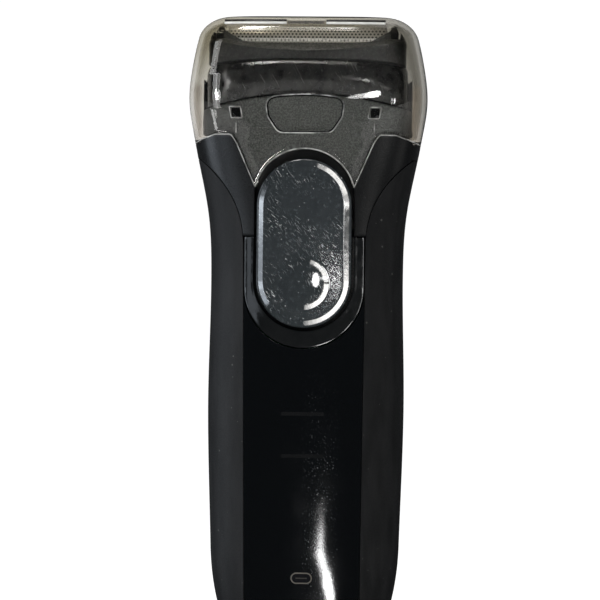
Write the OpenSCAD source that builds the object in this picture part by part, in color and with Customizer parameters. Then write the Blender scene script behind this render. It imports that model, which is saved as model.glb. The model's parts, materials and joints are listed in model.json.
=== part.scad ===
// Foil shaver with a clear cap, a sliding switch and a three-element cutting head.
// The front faces -Y, +Z runs up the handle, and the origin lies under the middle of the base.

/* [Handle] */
// Height from the base to the seam above the front panel
handle_h = 103; // [98:0.5:108]
// Width at the base, before its round edge
base_w = 47; // [45:0.2:49]
// Depth at the base, before its round edge
base_d = 29.6; // [29:0.2:32]
// Height over which the base edge is rounded
base_round_h = 26; // [22:0.5:30]
// How far the round edge draws in the base's sides
base_round_w = 10; // [8:0.2:11]
// How far the round edge draws in the base's front and back
base_round_d = 5; // [4:0.2:6]
// Height of the widest place of the lower handle
hip_z = 60; // [54:0.5:66]
// Width of the widest place of the lower handle
hip_w = 48.8; // [48:0.2:51]
// Depth of the lower handle
hip_d = 32.4; // [32:0.2:35]
// How far the waist lies below the panel seam
waist_drop = 10; // [6:0.5:14]
// Width at the waist
waist_w = 47.8; // [47:0.2:50]
// Reach of the waist to the front
waist_front = 16; // [15.8:0.1:16.6]
// Reach of the waist to the back
waist_back = 15.8; // [15.6:0.1:16.6]
// Half width of the front panel at the seam
panel_half = 15; // [14.6:0.1:15.6]
// How much narrower that half width is at the base
panel_taper = 0.9; // [0:0.1:1.5]
// Half width of the back cover
back_half = 14; // [13:0.1:15]
// Wall of the rubber grips and the shoulders
skin_t = 2; // [1.6:0.1:2.2]
// Wall of the front panel and the back cover
panel_t = 1.8; // [1.4:0.1:2]
// Joint line left between neighbouring shells
seam_gap = 0.15; // [0.1:0.01:0.25]
// Height of the base cap
base_h = 5.2; // [4.6:0.1:5.6]

/* [Shoulders] */
// Height from the panel seam to the cap's side edge
shoulder_h = 23; // [21:0.5:26]
// How far above the seam the handle starts to flare
flare_rise = 5; // [3:0.5:8]
// Width where the flare starts
flare_w = 49.2; // [48.6:0.2:51]
// Width at the cap's side edge
shoulder_w = 56; // [55.4:0.2:58]
// Reach of the shoulders to the front
shoulder_front = 17; // [16.8:0.1:17.6]
// Reach of the shoulders to the back
shoulder_back = 16.4; // [16.2:0.1:16.8]
// How far below the cap's edge the grips end
grip_drop = 4; // [3:0.2:6]
// How far below the panel seam the grip line starts to swing out
swing_drop = 4; // [2:0.2:8]
// How far the grip line swings out
swing_out = 11.4; // [10.6:0.1:11.6]
// How late the grip line swings out
swing_power = 2.57; // [2:0.01:3.2]

/* [Cap] */
// Height of the cap above its side edge
cap_h = 32; // [31.6:0.2:36]
// Wall of the cap
cap_t = 1; // [0.8:0.05:1.1]
// How far each side of the cap's belly stands out beyond the shoulders
belly_out = 1.6; // [1.3:0.1:3]
// Height of the belly above the cap's side edge
belly_rise = 11; // [9:0.2:13]
// Reach of the belly to the front
belly_front = 17.2; // [17:0.1:17.8]
// Reach of the belly to the back
belly_back = 16.6; // [16.4:0.1:17.4]
// How far the brow lies below the cap's top
brow_drop = 10.6; // [9:0.2:12]
// How far each side of the brow stands out beyond the shoulders
brow_out = 0.4; // [0:0.1:1.5]
// Reach of the brow to the front and the back
brow_reach = 16.4; // [16:0.1:17]
// How far each side of the top lies inside the shoulders, before the round edge
crown_in = 2.2; // [0.5:0.1:2.5]
// Reach of the top to the front and the back
crown_reach = 14.6; // [14.2:0.1:15.6]
// Height of the round edge at the top
crown_round_h = 5; // [4:0.1:5.4]
// How far the round edge draws in the sides
crown_round_w = 6; // [4:0.1:6.2]
// How far the round edge draws in the front and the back
crown_round_d = 4; // [3:0.1:4.2]
// Half width of the cap's edge at its upper notch
notch_x = 16.9; // [16:0.1:17.4]
// Half width where the cap's edge is highest
peak_x = 18.9; // [18:0.1:20]
// Half width where the cap's edge turns down to the side
brow_x = 22.4; // [21.6:0.1:23.4]
// How far the cap's edge rises above its side edge
peak_rise = 2; // [1:0.1:3]

/* [Switch] */
// Width of the sliding switch
switch_w = 23.4; // [22.4:0.1:23.8]
// Length of the sliding switch
switch_l = 41.6; // [40:0.1:43]
// How far the switch's top lies below the cap's side edge
switch_drop = 3.8; // [3.4:0.1:5]
// Travel of the switch
switch_travel = 2; // [1:0.1:2.4]
// Thickness of the sliding switch
switch_t = 3.6; // [3.3:0.1:4]
// Width of the bevel round the switch's face
switch_bevel = 1.9; // [1:0.1:2.4]
// Height of the bevel round the switch's face
bevel_drop = 0.7; // [0.4:0.1:1.2]
// Radius of the thumb dome
dome_r = 6.2; // [4:0.1:7.5]
// Height of the thumb dome above the switch's face
dome_h = 1.1; // [0.3:0.05:1.4]
// Height of the dome above the middle of the switch's lower end
dome_rise = -1; // [-2:0.1:6]
// Width of the band at the bottom of the bezel
bezel_band = 4.4; // [3.6:0.1:4.8]
// How far the bezel's inner lip stands above the handle
bezel_lip = 0.5; // [0.2:0.05:0.8]
// Gap between the switch and the shells round it
well_gap = 0.65; // [0.4:0.05:0.8]

/* [Head] */
// Gap between the cap's sides and the neck
neck_room = 0.8; // [0.7:0.05:1.2]
// Reach of the neck to the front
neck_front = 13.9; // [13.7:0.05:13.95]
// Reach of the neck to the back
neck_back = 12.6; // [12.4:0.05:12.65]
// Wall of the neck
neck_t = 1.6; // [1.2:0.1:1.8]
// Height of the neck's arched top above the cap's side edge
neck_rise = 12.1; // [11.4:0.1:13]
// How far the neck's top drops towards its sides
arch_drop = 2.5; // [1:0.1:3]
// Gap between the neck and the cassette
head_gap = 0.4; // [0.3:0.05:0.7]
// How far the sides of the cassette's glossy band lie inside the neck's
band_in = 0.9; // [0.7:0.05:1.2]
// Wall of the glossy band
band_t = 1.4; // [1:0.05:1.5]
// Height of the band at its middle
band_h = 8.1; // [7.4:0.1:9]
// How far the band's crest drops towards its sides
crest_drop = 1.5; // [0.5:0.1:2]
// How far the sides of the cassette frame lie inside the neck's
frame_in = 1.7; // [1.6:0.05:2]
// Reach of the cassette frame to the front
frame_front = 12.5; // [12.3:0.05:12.8]
// Reach of the cassette frame to the back
frame_back = 11.6; // [11.4:0.05:12]
// Height of the cassette frame above the band's crest
frame_h = 5.3; // [4.8:0.1:5.8]
// Wall of the cassette frame beside the foils
frame_wall = 1.7; // [1.5:0.05:2.6]
// Outer radius of the foils
foil_r = 3.7; // [3.4:0.05:3.75]
// Thickness of the foils
foil_t = 0.2; // [0.12:0.01:0.3]
// Distance of the foils from the head's middle
foil_y = 5.6; // [5.5:0.05:5.65]
// Height of a foil's straight legs
foil_leg = 3.3; // [3:0.1:3.4]
// How far the foils and the middle trimmer can be pressed down
float_travel = 1.5; // [0.5:0.1:1.6]
// Length of a foil holder's end block
holder_end = 2.15; // [1.6:0.05:2.2]
// Number of cutter blades under each foil
blade_count = 22; // [12:1:26]
// Thickness of a cutter blade
blade_t = 0.4; // [0.2:0.05:0.6]
// Half depth of the middle trimmer
middle_half = 1.5; // [1.3:0.05:1.55]
// Distance from tooth to tooth on the trimmers
tooth_pitch = 1.3; // [1:0.05:1.6]
// Gap between two teeth
tooth_gap = 0.7; // [0.4:0.05:0.8]
// Depth of a release button from front to back
release_d = 12; // [9:0.2:13]
// How far a release button rises above the cap's side edge
release_rise = 16.6; // [15:0.1:17]

/* [Drive] */
// Diameter of the motor
motor_d = 20; // [17:0.5:20]
// Length of the motor's can
motor_l = 23.5; // [20:0.5:24]
// How far the motor's top lies above the panel seam
motor_rise = 14.5; // [13.5:0.1:15]
// Diameter of the motor shaft
shaft_d = 2; // [1.5:0.1:2.4]
// Offset of the eccentric pin
crank = 1.3; // [0.6:0.05:1.4]
// Diameter of the eccentric pin
crank_pin_d = 2.4; // [1.6:0.1:2.6]
// Gap on each side of the eccentric pin in its slot
crank_gap = 0.12; // [0.1:0.01:0.2]
// Diameter of the drive pins
drive_pin_d = 2; // [1.6:0.05:2.1]
// Diameter of the guide rods
rod_d = 2; // [1.4:0.1:2.2]
// Running clearance round pins and rods
run_gap = 0.08; // [0.05:0.01:0.1]
// Wire of the coil springs
wire_d = 0.45; // [0.3:0.05:0.5]
// Turns of a coil spring
spring_turns = 3.5; // [2.5:0.5:4]

/* [Power] */
// Diameter of a battery cell
cell_d = 14.2; // [13:0.1:14.4]
// Length of a battery cell
cell_l = 50.5; // [46:0.5:51]
// Thickness of the circuit board
board_t = 1.2; // [0.8:0.1:1.4]
// Width of the circuit board
board_w = 26.8; // [22:0.2:27]
// Width of the power inlet's recess
inlet_w = 13.6; // [12.6:0.1:14.4]
// Depth of the power inlet's recess from front to back
inlet_d = 8; // [7.4:0.1:8.6]
// How deep the power inlet's recess is
inlet_deep = 9.6; // [9.2:0.1:11]
// Diameter of an inlet pin
inlet_pin_d = 2; // [1.5:0.1:2.4]
// Distance between the inlet pins
inlet_pitch = 6; // [5:0.1:7]
// Length of an inlet pin in the recess
inlet_pin_l = 4.9; // [4:0.1:5]
// Width of the charge light
light_w = 5.5; // [4:0.1:7]
// Height of the charge light
light_h = 3; // [2:0.1:3.6]
// Height of the charge light above the base
light_z = 18.8; // [16.5:0.1:20]
// Width of a level bar
bar_w = 10.6; // [8:0.1:14]
// Height of a level bar
bar_h = 0.9; // [0.5:0.1:1.5]
// Height of the lower level bar above the base
bar_z = 49; // [44:0.5:54]
// Distance between the level bars
bar_pitch = 10.4; // [8:0.2:12]

/* [Back trimmer] */
// Travel of the long-hair trimmer
trimmer_travel = 9; // [6:0.5:9]
// Width of the long-hair trimmer
trimmer_w = 26; // [22:0.5:27]
// Height of the trimmer's comb
trimmer_h = 7.8; // [6:0.1:9]
// Width of the trimmer's thumb button
thumb_w = 11; // [8:0.5:13]
// Height of the trimmer's thumb button
thumb_h = 8; // [6:0.2:8.4]
// How far the thumb button stands out behind its stem
thumb_t = 1.2; // [0.9:0.1:1.5]

/* [Hidden] */
$fn = 48;
clear = 0.3;
touch = 0.1;
rings = 48;
cut = 1;

z_seam = handle_h;
z_cap = z_seam + shoulder_h;
z_top = z_cap + cap_h;
z_skin = base_h + seam_gap;
grip_top = z_cap - grip_drop;
swing_z = z_seam - swing_drop;

// Each station gives a height, a half width, the reach to front and back, and the squareness
body_square = 2.8;
neck_square = 4;
stations = [
  [base_round_h, base_w / 2, base_d / 2, base_d / 2, body_square],
  [hip_z, hip_w / 2, hip_d / 2, hip_d / 2, body_square],
  [z_seam - waist_drop, waist_w / 2, waist_front, waist_back, body_square],
  [z_seam + flare_rise, flare_w / 2, (waist_front + shoulder_front) / 2, (waist_back + shoulder_back) / 2, 2.9],
  [z_cap, shoulder_w / 2, shoulder_front, shoulder_back, 3.4],
  [z_cap + belly_rise, shoulder_w / 2 + belly_out, belly_front, belly_back, 3.8],
  [z_top - brow_drop, shoulder_w / 2 + brow_out, brow_reach, brow_reach, neck_square],
  [z_top, shoulder_w / 2 - crown_in, crown_reach, crown_reach, neck_square]
];

function lerp(a, b, t) = a + (b - a) * t;
function spread(a, b, n) = [for (i = [0:n - 1]) lerp(a, b, i / n)];

// Smooth curve through the stations
function span(z, i = 0) = i >= len(stations) - 2 || z < stations[i + 1][0] ? i : span(z, i + 1);
function slope(i, k) = let (a = stations[max(0, i - 1)], b = stations[min(len(stations) - 1, i + 1)])
  (b[k] - a[k]) / (b[0] - a[0]);
function along(z, k) = let (
    i = span(z),
    p = stations[i],
    q = stations[i + 1],
    h = q[0] - p[0],
    t = max(0, (z - p[0]) / h),
    u = 1 - t
  )
  p[k] * (1 + 2 * t) * u * u + h * slope(i, k) * t * u * u
  + q[k] * t * t * (3 - 2 * t) - h * slope(i + 1, k) * t * t * u;

// Round ends at the base and at the cap's top
function bow(t) = 1 - sqrt(max(0, 1 - t * t));
function drawn(z, low, high) = z < base_round_h ? low * bow((base_round_h - z) / base_round_h)
  : z > z_top - crown_round_h ? high * bow((z - z_top + crown_round_h) / crown_round_h) : 0;
function half_w(z) = along(z, 1) - drawn(z, base_round_w, crown_round_w);
function front(z) = along(z, 2) - drawn(z, base_round_d, crown_round_d);
function back(z) = along(z, 3) - drawn(z, base_round_d, crown_round_d);
function square_of(z) = along(z, 4);

// A point of a rounded outline at angle a, counted from the front towards +X
function outline(a, w, f, r, n) = let (s = sin(a), c = cos(a))
  [w * sign(s) * pow(abs(s), 2 / n), -(c > 0 ? f : r) * sign(c) * pow(abs(c), 2 / n)];
function skin(a, z, inset = 0) =
  let (p = outline(a, half_w(z) - inset, front(z) - inset, back(z) - inset, square_of(z))) [p[0], p[1], z];
function turn_of(x, z) = asin(pow(min(1, x / half_w(z)), square_of(z) / 2));
function face_y(x, z) = let (n = square_of(z)) front(z) * pow(1 - pow(abs(x) / half_w(z), n), 1 / n);
function loop(w, f, r, n) = [for (i = [0:rings - 1]) outline(360 * i / rings, w, f, r, n)];

// The line between the front panel or shoulder and the grip
function panel_x(z) = panel_half - panel_taper * max(0, 1 - z / swing_z);
function seam_x(z) = panel_x(z) + swing_out * pow(max(0, z - swing_z) / (grip_top - swing_z), swing_power);
function seam_z(x) = swing_z + (grip_top - swing_z) * pow((x - panel_half) / swing_out, 1 / swing_power);

// Switch, its well and the cap's edge around it
switch_r = switch_w / 2;
switch_top = z_cap - switch_drop;
switch_low_z = switch_top - switch_l + switch_r;
switch_high_z = switch_top - switch_r;
well_r = switch_r + well_gap;
tongue_r = well_r + clear;
tongue_z = switch_top + switch_travel + touch + clear - tongue_r;
leg_x = well_r - touch;
side_x = shoulder_w / 2 - touch;
notch_z = z_cap - clear;
peak_z = z_cap + peak_rise;
function tongue(x) = tongue_z + sqrt(tongue_r * tongue_r - x * x);
function cap_edge(x) = x <= leg_x ? tongue(x)
  : x <= notch_x ? lerp(tongue(leg_x), notch_z, (x - leg_x) / (notch_x - leg_x))
  : x <= peak_x ? lerp(notch_z, peak_z, sin(90 * (x - notch_x) / (peak_x - notch_x)))
  : x <= brow_x ? peak_z
  : lerp(peak_z, z_cap, min(1, (x - brow_x) / (side_x - brow_x)));

// Head sizes, from the cap inwards
neck_half = shoulder_w / 2 - cap_t - neck_room;
band_half = neck_half - band_in;
frame_half = neck_half - frame_in;
opening_half = frame_half - frame_wall;
holder_half = opening_half - clear;
foil_l = 2 * (holder_half - holder_end - touch / 2);
neck_top = z_cap + neck_rise;
crest_z = neck_top + head_gap + band_h;
frame_top = crest_z + frame_h;
deck_t = 1.4;
deck_z = z_cap + 4;
foil_z = frame_top;
function arch_z(x) = neck_top - arch_drop * pow(x / (neck_half - 5.6), 2);
function crest(x) = crest_z - crest_drop * pow(x / (band_half - 1.9), 2);
opening_d = foil_y + foil_r + clear;
frame_low = neck_top + 1.1;
block_low = crest_z - 1.8;
block_t = 2.4;
rail_t = 1.5;
rail_low = foil_z - foil_leg - rail_t;
cutter_r = foil_r - foil_t - 0.25;
socket_deep = 1.8;

// Drive heights
motor_top = z_seam + motor_rise;
mount_t = 1.5;
hub_low = motor_top + mount_t + clear;
hub_t = 1.5;
hub_d = 6;
crank_l = 3.4;
bridge_low = hub_low + hub_t + 0.4;
slot_h = crank_l;
bridge_t = 5;
rod_z = bridge_low + 2.7;
rod_y = 6.2;
rod_l = 36.4;
tube_d = 4;
tube_top = deck_z + 7;
pin_low = bridge_low + bridge_t + 2.4;
pin_top = block_low + socket_deep - clear;
collar_z = tube_top + spring_turns + 0.2;
collar_t = 1;
pin_seats = [-foil_y, 0, foil_y];
stroke = crank * 0.92;

// Screws and the motor's boss
screw_d = 1.5;
screw_head_d = 2.8;
screw_head_h = 0.9;
motor_screw_y = 6;
deck_screw_x = 16.8;
boss_d = 6;
boss_rise = 1.4;
can_t = 1;
can_top = 3.6;

// Power heights
cell_y = 2.6;
cell_x = cell_d / 2 + clear;
shelf_t = 1.5;
tab_t = 0.4;
cell_room = 4;
high_shelf = z_seam - 16.5;
cell_low = high_shelf - cell_room - cell_l;
low_shelf = cell_low - touch - tab_t - shelf_t;
board_front = 9.8;
board_low = 15;
board_top = z_seam - 12;
plate_front = 13.6;
plate_t = 1.2;
switch_back = neck_front + 0.4;
switch_reach = switch_back + switch_t;
stem_z = switch_low_z - 7.2;
stem_h = 3;
stem_w = 3.6;
gasket_t = 0.6;
inlet_low = base_h + gasket_t + touch;
inlet_top = inlet_deep + 4.6;
inlet_wall = 1.6;

// Back trimmer
carriage_y = neck_back + clear;
carriage_t = 0.9;
carriage_low = z_cap - 19;
thumb_z = z_cap - 13;
thumb_stem_h = 3;
thumb_back = shoulder_back + clear;
thumb_reach = thumb_back + thumb_t;

black = "#17181a";
gloss = "#0c0d0f";
rubber = "#26282a";
steel = "#b9bcc0";
brass = "#c5a352";

// A shell between two grids of points, open or closed round the handle
module shell(outer, inner, closed = false) {
  n = len(outer);
  m = len(outer[0]);
  last = closed ? n - 1 : n - 2;
  function o(i, j) = (i % n) * m + j;
  function k(i, j) = (n + i % n) * m + j;
  function two(a, b, c, d) = [[a, b, c], [a, c, d]];
  walls = [for (i = [0:last], j = [0:m - 2]) each concat(
    two(o(i, j), o(i, j + 1), o(i + 1, j + 1), o(i + 1, j)),
    two(k(i, j), k(i + 1, j), k(i + 1, j + 1), k(i, j + 1)))];
  rims = [for (i = [0:last]) each concat(
    two(o(i, 0), o(i + 1, 0), k(i + 1, 0), k(i, 0)),
    two(o(i + 1, m - 1), o(i, m - 1), k(i, m - 1), k(i + 1, m - 1)))];
  sides = closed ? [] : [for (j = [0:m - 2]) each concat(
    two(o(0, j + 1), o(0, j), k(0, j), k(0, j + 1)),
    two(o(n - 1, j), o(n - 1, j + 1), k(n - 1, j + 1), k(n - 1, j)))];
  polyhedron([for (c = concat(outer, inner)) each c], concat(walls, rims, sides));
}

// A cup with a flat closed top
module cup(outer, inner) {
  n = len(outer);
  m = len(outer[0]);
  function o(i, j) = (i % n) * m + j;
  function k(i, j) = (n + i % n) * m + j;
  function two(a, b, c, d) = [[a, b, c], [a, c, d]];
  walls = [for (i = [0:n - 1], j = [0:m - 2]) each concat(
    two(o(i, j), o(i, j + 1), o(i + 1, j + 1), o(i + 1, j)),
    two(k(i, j), k(i + 1, j), k(i + 1, j + 1), k(i, j + 1)))];
  rim = [for (i = [0:n - 1]) each two(o(i, 0), o(i + 1, 0), k(i + 1, 0), k(i, 0))];
  tops = [[for (i = [n - 1:-1:0]) o(i, m - 1)], [for (i = [0:n - 1]) k(i, m - 1)]];
  polyhedron([for (c = concat(outer, inner)) each c], concat(walls, rim, tops));
}

// A solid through a stack of outlines, flat at both ends
module stack(columns) {
  n = len(columns);
  m = len(columns[0]);
  function o(i, j) = (i % n) * m + j;
  walls = [for (i = [0:n - 1], j = [0:m - 2])
    each [[o(i, j), o(i, j + 1), o(i + 1, j + 1)], [o(i, j), o(i + 1, j + 1), o(i + 1, j)]]];
  ends = [[for (i = [0:n - 1]) o(i, 0)], [for (i = [n - 1:-1:0]) o(i, m - 1)]];
  polyhedron([for (c = columns) each c], concat(walls, ends));
}

// A coil spring standing on z = 0
module coil(r, l) {
  steps = 8 * spring_turns;
  sides = 6;
  points = [for (i = [0:steps]) let (a = 45 * i, z = wire_d / 2 + (l - wire_d) * i / steps)
    for (j = [0:sides - 1]) let (q = r + wire_d / 2 * cos(60 * j))
      [q * cos(a), q * sin(a), z + wire_d / 2 * sin(60 * j)]];
  function p(i, j) = i * sides + j % sides;
  walls = [for (i = [0:steps - 1], j = [0:sides - 1])
    each [[p(i, j), p(i, j + 1), p(i + 1, j + 1)], [p(i, j), p(i + 1, j + 1), p(i + 1, j)]]];
  ends = [[for (j = [sides - 1:-1:0]) p(0, j)], [for (j = [0:sides - 1]) p(steps, j)]];
  polyhedron(points, concat(walls, ends));
}

// A flat outline in X and Z, drawn out between two depths towards the front
module to_front(near, far) translate([0, -near, 0]) rotate([90, 0, 0]) linear_extrude(far - near) children();
// A flat outline in Y and Z, drawn out along X
module along_x(from, to) translate([from, 0, 0]) rotate([90, 0, 90]) linear_extrude(to - from) children();
module box(low, high) translate(low) cube(high - low);
module pill(r, run) {
  translate([-run / 2, 0]) circle(r);
  translate([run / 2, 0]) circle(r);
  translate([-run / 2, -r]) square([run, 2 * r]);
}
module both_sides() {
  children();
  mirror([1, 0, 0]) children();
}

// Clear cap over the cutting head, with a tongue down to the switch
module cap() {
  flank_x = side_x - 3;
  stops = concat(
    [for (i = [0:5]) leg_x * sin(18 * i)],
    spread(leg_x, notch_x, 4),
    spread(notch_x, peak_x, 3),
    spread(peak_x, brow_x, 2),
    spread(brow_x, flank_x, 2));
  front_turns = [for (x = stops) turn_of(x, cap_edge(x))];
  flank = turn_of(flank_x, z_cap);
  half = concat(front_turns, [for (i = [0:12]) lerp(flank, 180, i / 12)]);
  turns = concat(half, [for (i = [len(half) - 2:-1:1]) 360 - half[i]]);
  edges = concat(
    [for (x = stops) cap_edge(x)],
    [for (i = [0:12]) let (a = lerp(flank, 180, i / 12)) a < 90 ? cap_edge(skin(a, z_cap)[0]) : z_cap]);
  all_edges = concat(edges, [for (i = [len(half) - 2:-1:1]) edges[i]]);
  wall_rows = [0, 0.12, 0.26, 0.42, 0.6, 0.8, 1];
  crown = [18, 36, 54, 72, 90];
  crown_low = z_top - crown_round_h;
  outer = [for (i = [0:len(turns) - 1]) concat(
    [for (t = wall_rows) skin(turns[i], lerp(all_edges[i], crown_low, t))],
    [for (c = crown) skin(turns[i], crown_low + crown_round_h * sin(c))])];
  inner = [for (i = [0:len(turns) - 1]) concat(
    [for (t = wall_rows) skin(turns[i], lerp(all_edges[i], crown_low, t), cap_t)],
    [for (c = crown) skin(turns[i], crown_low + crown_round_h * sin(c), cap_t) - [0, 0, cap_t * c / 90]])];
  color("#b8b2a6", 0.4) cup(outer, inner);
}

// Textured housing under the cap that carries the cutting head
module neck() {
  lowest = z_seam + 2;
  neck_fit = 0.5;
  rows = concat(spread(lowest, z_cap - clear, 4), [z_cap - clear, z_cap + 1.5]);
  function wide(z) = z < z_cap ? half_w(z) - skin_t - neck_fit : neck_half;
  function shape(z) = z < z_cap ? square_of(z) : neck_square;
  function ring(a, inset) = concat(
    [for (z = rows) let (p = outline(a, wide(z) - inset, neck_front - inset, neck_back - inset, shape(z)))
      [p[0], p[1], z]],
    [let (p = outline(a, neck_half - inset, neck_front - inset, neck_back - inset, neck_square))
      [p[0], p[1], arch_z(p[0])]]);
  turns = [for (i = [0:rings - 1]) 360 * i / rings];
  color(black) difference() {
    shell([for (a = turns) ring(a, 0)], [for (a = turns) ring(a, neck_t)], closed = true);
    both_sides()
      box([neck_half - 3, -button_slot, stem_low - clear], [neck_half + cut, button_slot, neck_top + cut]);
  }
}

// Satin shoulder between the cap's edge, the switch and the grip
module shoulder() {
  flank_x = panel_half + swing_out - 0.35;
  stops = concat(
    spread(well_r, panel_half, 2),
    [panel_half],
    [for (rise = [0, 2, 3.8, 5.5]) seam_x(z_seam + rise)],
    spread(notch_x, peak_x, 2),
    spread(peak_x, brow_x, 2),
    spread(brow_x, flank_x, 2),
    [flank_x]);
  low_z = [for (x = stops) max(z_seam, x > panel_half ? seam_z(x) : 0) + seam_gap];
  high_z = [for (x = stops) cap_edge(x) - seam_gap];
  // The edge beside the switch is cut straight back
  straight = [for (x = stops) max(0, panel_half - x) / (panel_half - well_r)];
  rows = [0, 0.2, 0.4, 0.6, 0.8, 1];
  side_steps = 10;
  function flank(t, i) = let (
      z = lerp(grip_top + seam_gap, z_cap - seam_gap, t),
      from = turn_of(flank_x, z),
      to = 180 - turn_of(back_half + seam_gap, z)
    ) [lerp(from, to, i / side_steps), z];
  function inner_turn(i, z) =
    let (w = half_w(z), x = stops[i] * lerp(1, w / (w - skin_t), straight[i])) turn_of(x, z);
  function column(i, inset) = [for (t = rows) let (z = lerp(low_z[i], high_z[i], t))
    skin(inset > 0 ? inner_turn(i, z) : turn_of(stops[i], z), z, inset)];
  function side(i, inset) = [for (t = rows) let (p = flank(t, i)) skin(p[0], p[1], inset)];
  function grid(inset) = concat(
    [for (i = [0:len(stops) - 1]) column(i, inset)],
    [for (i = [1:side_steps]) side(i, inset)]);
  shell(grid(0), grid(skin_t));
}
module shoulder_right() { color(black) shoulder(); }
module shoulder_left() { color(black) mirror([1, 0, 0]) shoulder(); }

// Rubber grip along one side of the handle
module grip() {
  rows = [0, 0.02, 0.05, 0.09, 0.14, 0.2, 0.28, 0.36, 0.44, 0.52, 0.6, 0.68, 0.76, 0.84, 0.92, 1];
  side_steps = 9;
  function near(z) = turn_of(panel_x(z) + seam_gap, z);
  function far(z) = 180 - turn_of(back_half + seam_gap, z);
  function share(z) = (turn_of(seam_x(z) + seam_gap, z) - near(z)) / (far(z) - near(z));
  swing_tops = [for (i = [0, 2, 3, 4, 5, 6, 7]) lerp(swing_z, grip_top, i / 8)];
  tops = concat(swing_tops, [for (i = [0:side_steps]) grip_top]);
  shares = concat(
    [for (z = swing_tops) share(z)],
    [for (i = [0:side_steps]) lerp(share(grip_top), 1, i / side_steps)]);
  function grid(inset) = [for (i = [0:len(tops) - 1]) [for (t = rows) let (z = lerp(z_skin, tops[i], t))
    skin(lerp(near(z), far(z), shares[i]), z, inset)]];
  shell(grid(0), grid(skin_t));
}
module grip_right() { color(rubber) grip(); }
module grip_left() { color(rubber) mirror([1, 0, 0]) grip(); }

// Glossy front panel below the switch
bezel_r = panel_half - seam_gap;
bezel_z = switch_low_z - well_r - bezel_band + bezel_r;
function panel_top(x) = bezel_z - sqrt(pow(bezel_r + seam_gap, 2) - x * x) - seam_gap / 2;
module front_panel() {
  rows = [for (i = [0:18]) i / 18];
  steps = 16;
  function place(i, t) = let (
      u = sin(lerp(-90, 90, i / steps)),
      z = lerp(z_skin, panel_top(u * (seam_x(bezel_z) - seam_gap / 2)), 1 - pow(1 - t, 1.3))
    ) [turn_of(abs(u) * seam_x(z), z) * sign(u), z];
  function grid(inset) = [for (i = [0:steps]) [for (t = rows) let (p = place(i, t)) skin(p[0], p[1], inset)]];
  color(gloss) difference() {
    shell(grid(0), grid(panel_t));
    to_front(front(light_z) - 5, front(light_z) + cut) translate([0, light_z])
      pill(light_h / 2 + touch, light_w - light_h);
    for (i = [0, 1]) to_front(front(hip_z) - 5, front(hip_z) + cut) translate([0, bar_z + i * bar_pitch])
      square([bar_w + 2 * touch, bar_h + 2 * touch], center = true);
  }
}

// Raised band around the lower half of the switch
module switch_bezel() {
  arc_steps = 20;
  run_steps = 4;
  top_z = z_seam - seam_gap;
  foot = 0.9;
  back_y = plate_front + touch;
  runs = spread(top_z, switch_low_z, run_steps);
  // Each place has a direction, and the heights that the inner and outer edges turn about
  places = concat(
    [for (z = runs) [0, z, z]],
    [for (i = [0:arc_steps]) [-180 * i / arc_steps, switch_low_z, bezel_z]],
    [for (i = [run_steps - 1:-1:0]) [-180, runs[i], runs[i]]]);
  function edge(p, k, r) = [r * cos(p[0]), p[k] + r * sin(p[0])];
  function section(p) = let (
      a = edge(p, 1, well_r),
      b = edge(p, 1, well_r + bezel_lip),
      c = edge(p, 2, bezel_r),
      d = edge(p, 2, bezel_r - foot)
    ) [
      [a[0], -back_y, a[1]],
      [a[0], -face_y(a[0], a[1]) - bezel_lip, a[1]],
      [b[0], -face_y(b[0], b[1]) - bezel_lip, b[1]],
      [c[0], -face_y(c[0], c[1]), c[1]],
      [d[0], -plate_front, d[1]]
    ];
  sides = 5;
  n = len(places);
  points = [for (p = places) each section(p)];
  function q(i, j) = i * sides + j % sides;
  walls = [for (i = [0:n - 2], j = [0:sides - 1])
    each [[q(i, j), q(i, j + 1), q(i + 1, j + 1)], [q(i, j), q(i + 1, j + 1), q(i + 1, j)]]];
  ends = [[for (j = [sides - 1:-1:0]) q(0, j)], [for (j = [0:sides - 1]) q(n - 1, j)]];
  color(black) polyhedron(points, concat(walls, ends));
}

// Floor of the switch's well, with a slot for the switch's stem
module switch_plate() {
  half = well_r + 0.8;
  plate_top = z_seam - seam_gap;
  slot_w = stem_w / 2 + clear;
  color(black) to_front(plate_front - plate_t, plate_front) difference() {
    union() {
      translate([0, switch_low_z]) circle(half);
      translate([-half, switch_low_z]) square([2 * half, plate_top - switch_low_z]);
    }
    translate([-half, plate_top]) square(2 * half);
    translate([-slot_w, stem_z - clear]) square([2 * slot_w, stem_h + switch_travel + 2 * clear]);
  }
}

// Sliding power switch with a bevelled edge and a thumb dome
module power_slider() {
  ball_r = (dome_r * dome_r + dome_h * dome_h) / (2 * dome_h);
  dome_z = switch_low_z + dome_rise;
  module plate(near, far, r) {
    for (z = [switch_low_z, switch_high_z]) to_front(near, far) translate([0, z]) circle(r);
  }
  color(gloss) {
    hull() {
      plate(switch_back, switch_reach - bevel_drop, switch_r);
      plate(switch_back, switch_reach, switch_r - switch_bevel);
    }
    intersection() {
      translate([0, -switch_reach + ball_r - dome_h, dome_z]) sphere(ball_r, $fn = 96);
      to_front(switch_reach - touch, switch_reach + dome_h + cut) translate([0, dome_z]) circle(dome_r + cut);
    }
    box([-stem_w / 2, -switch_back - touch, stem_z], [stem_w / 2, -board_front - 0.8, stem_z + stem_h]);
  }
}

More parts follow.
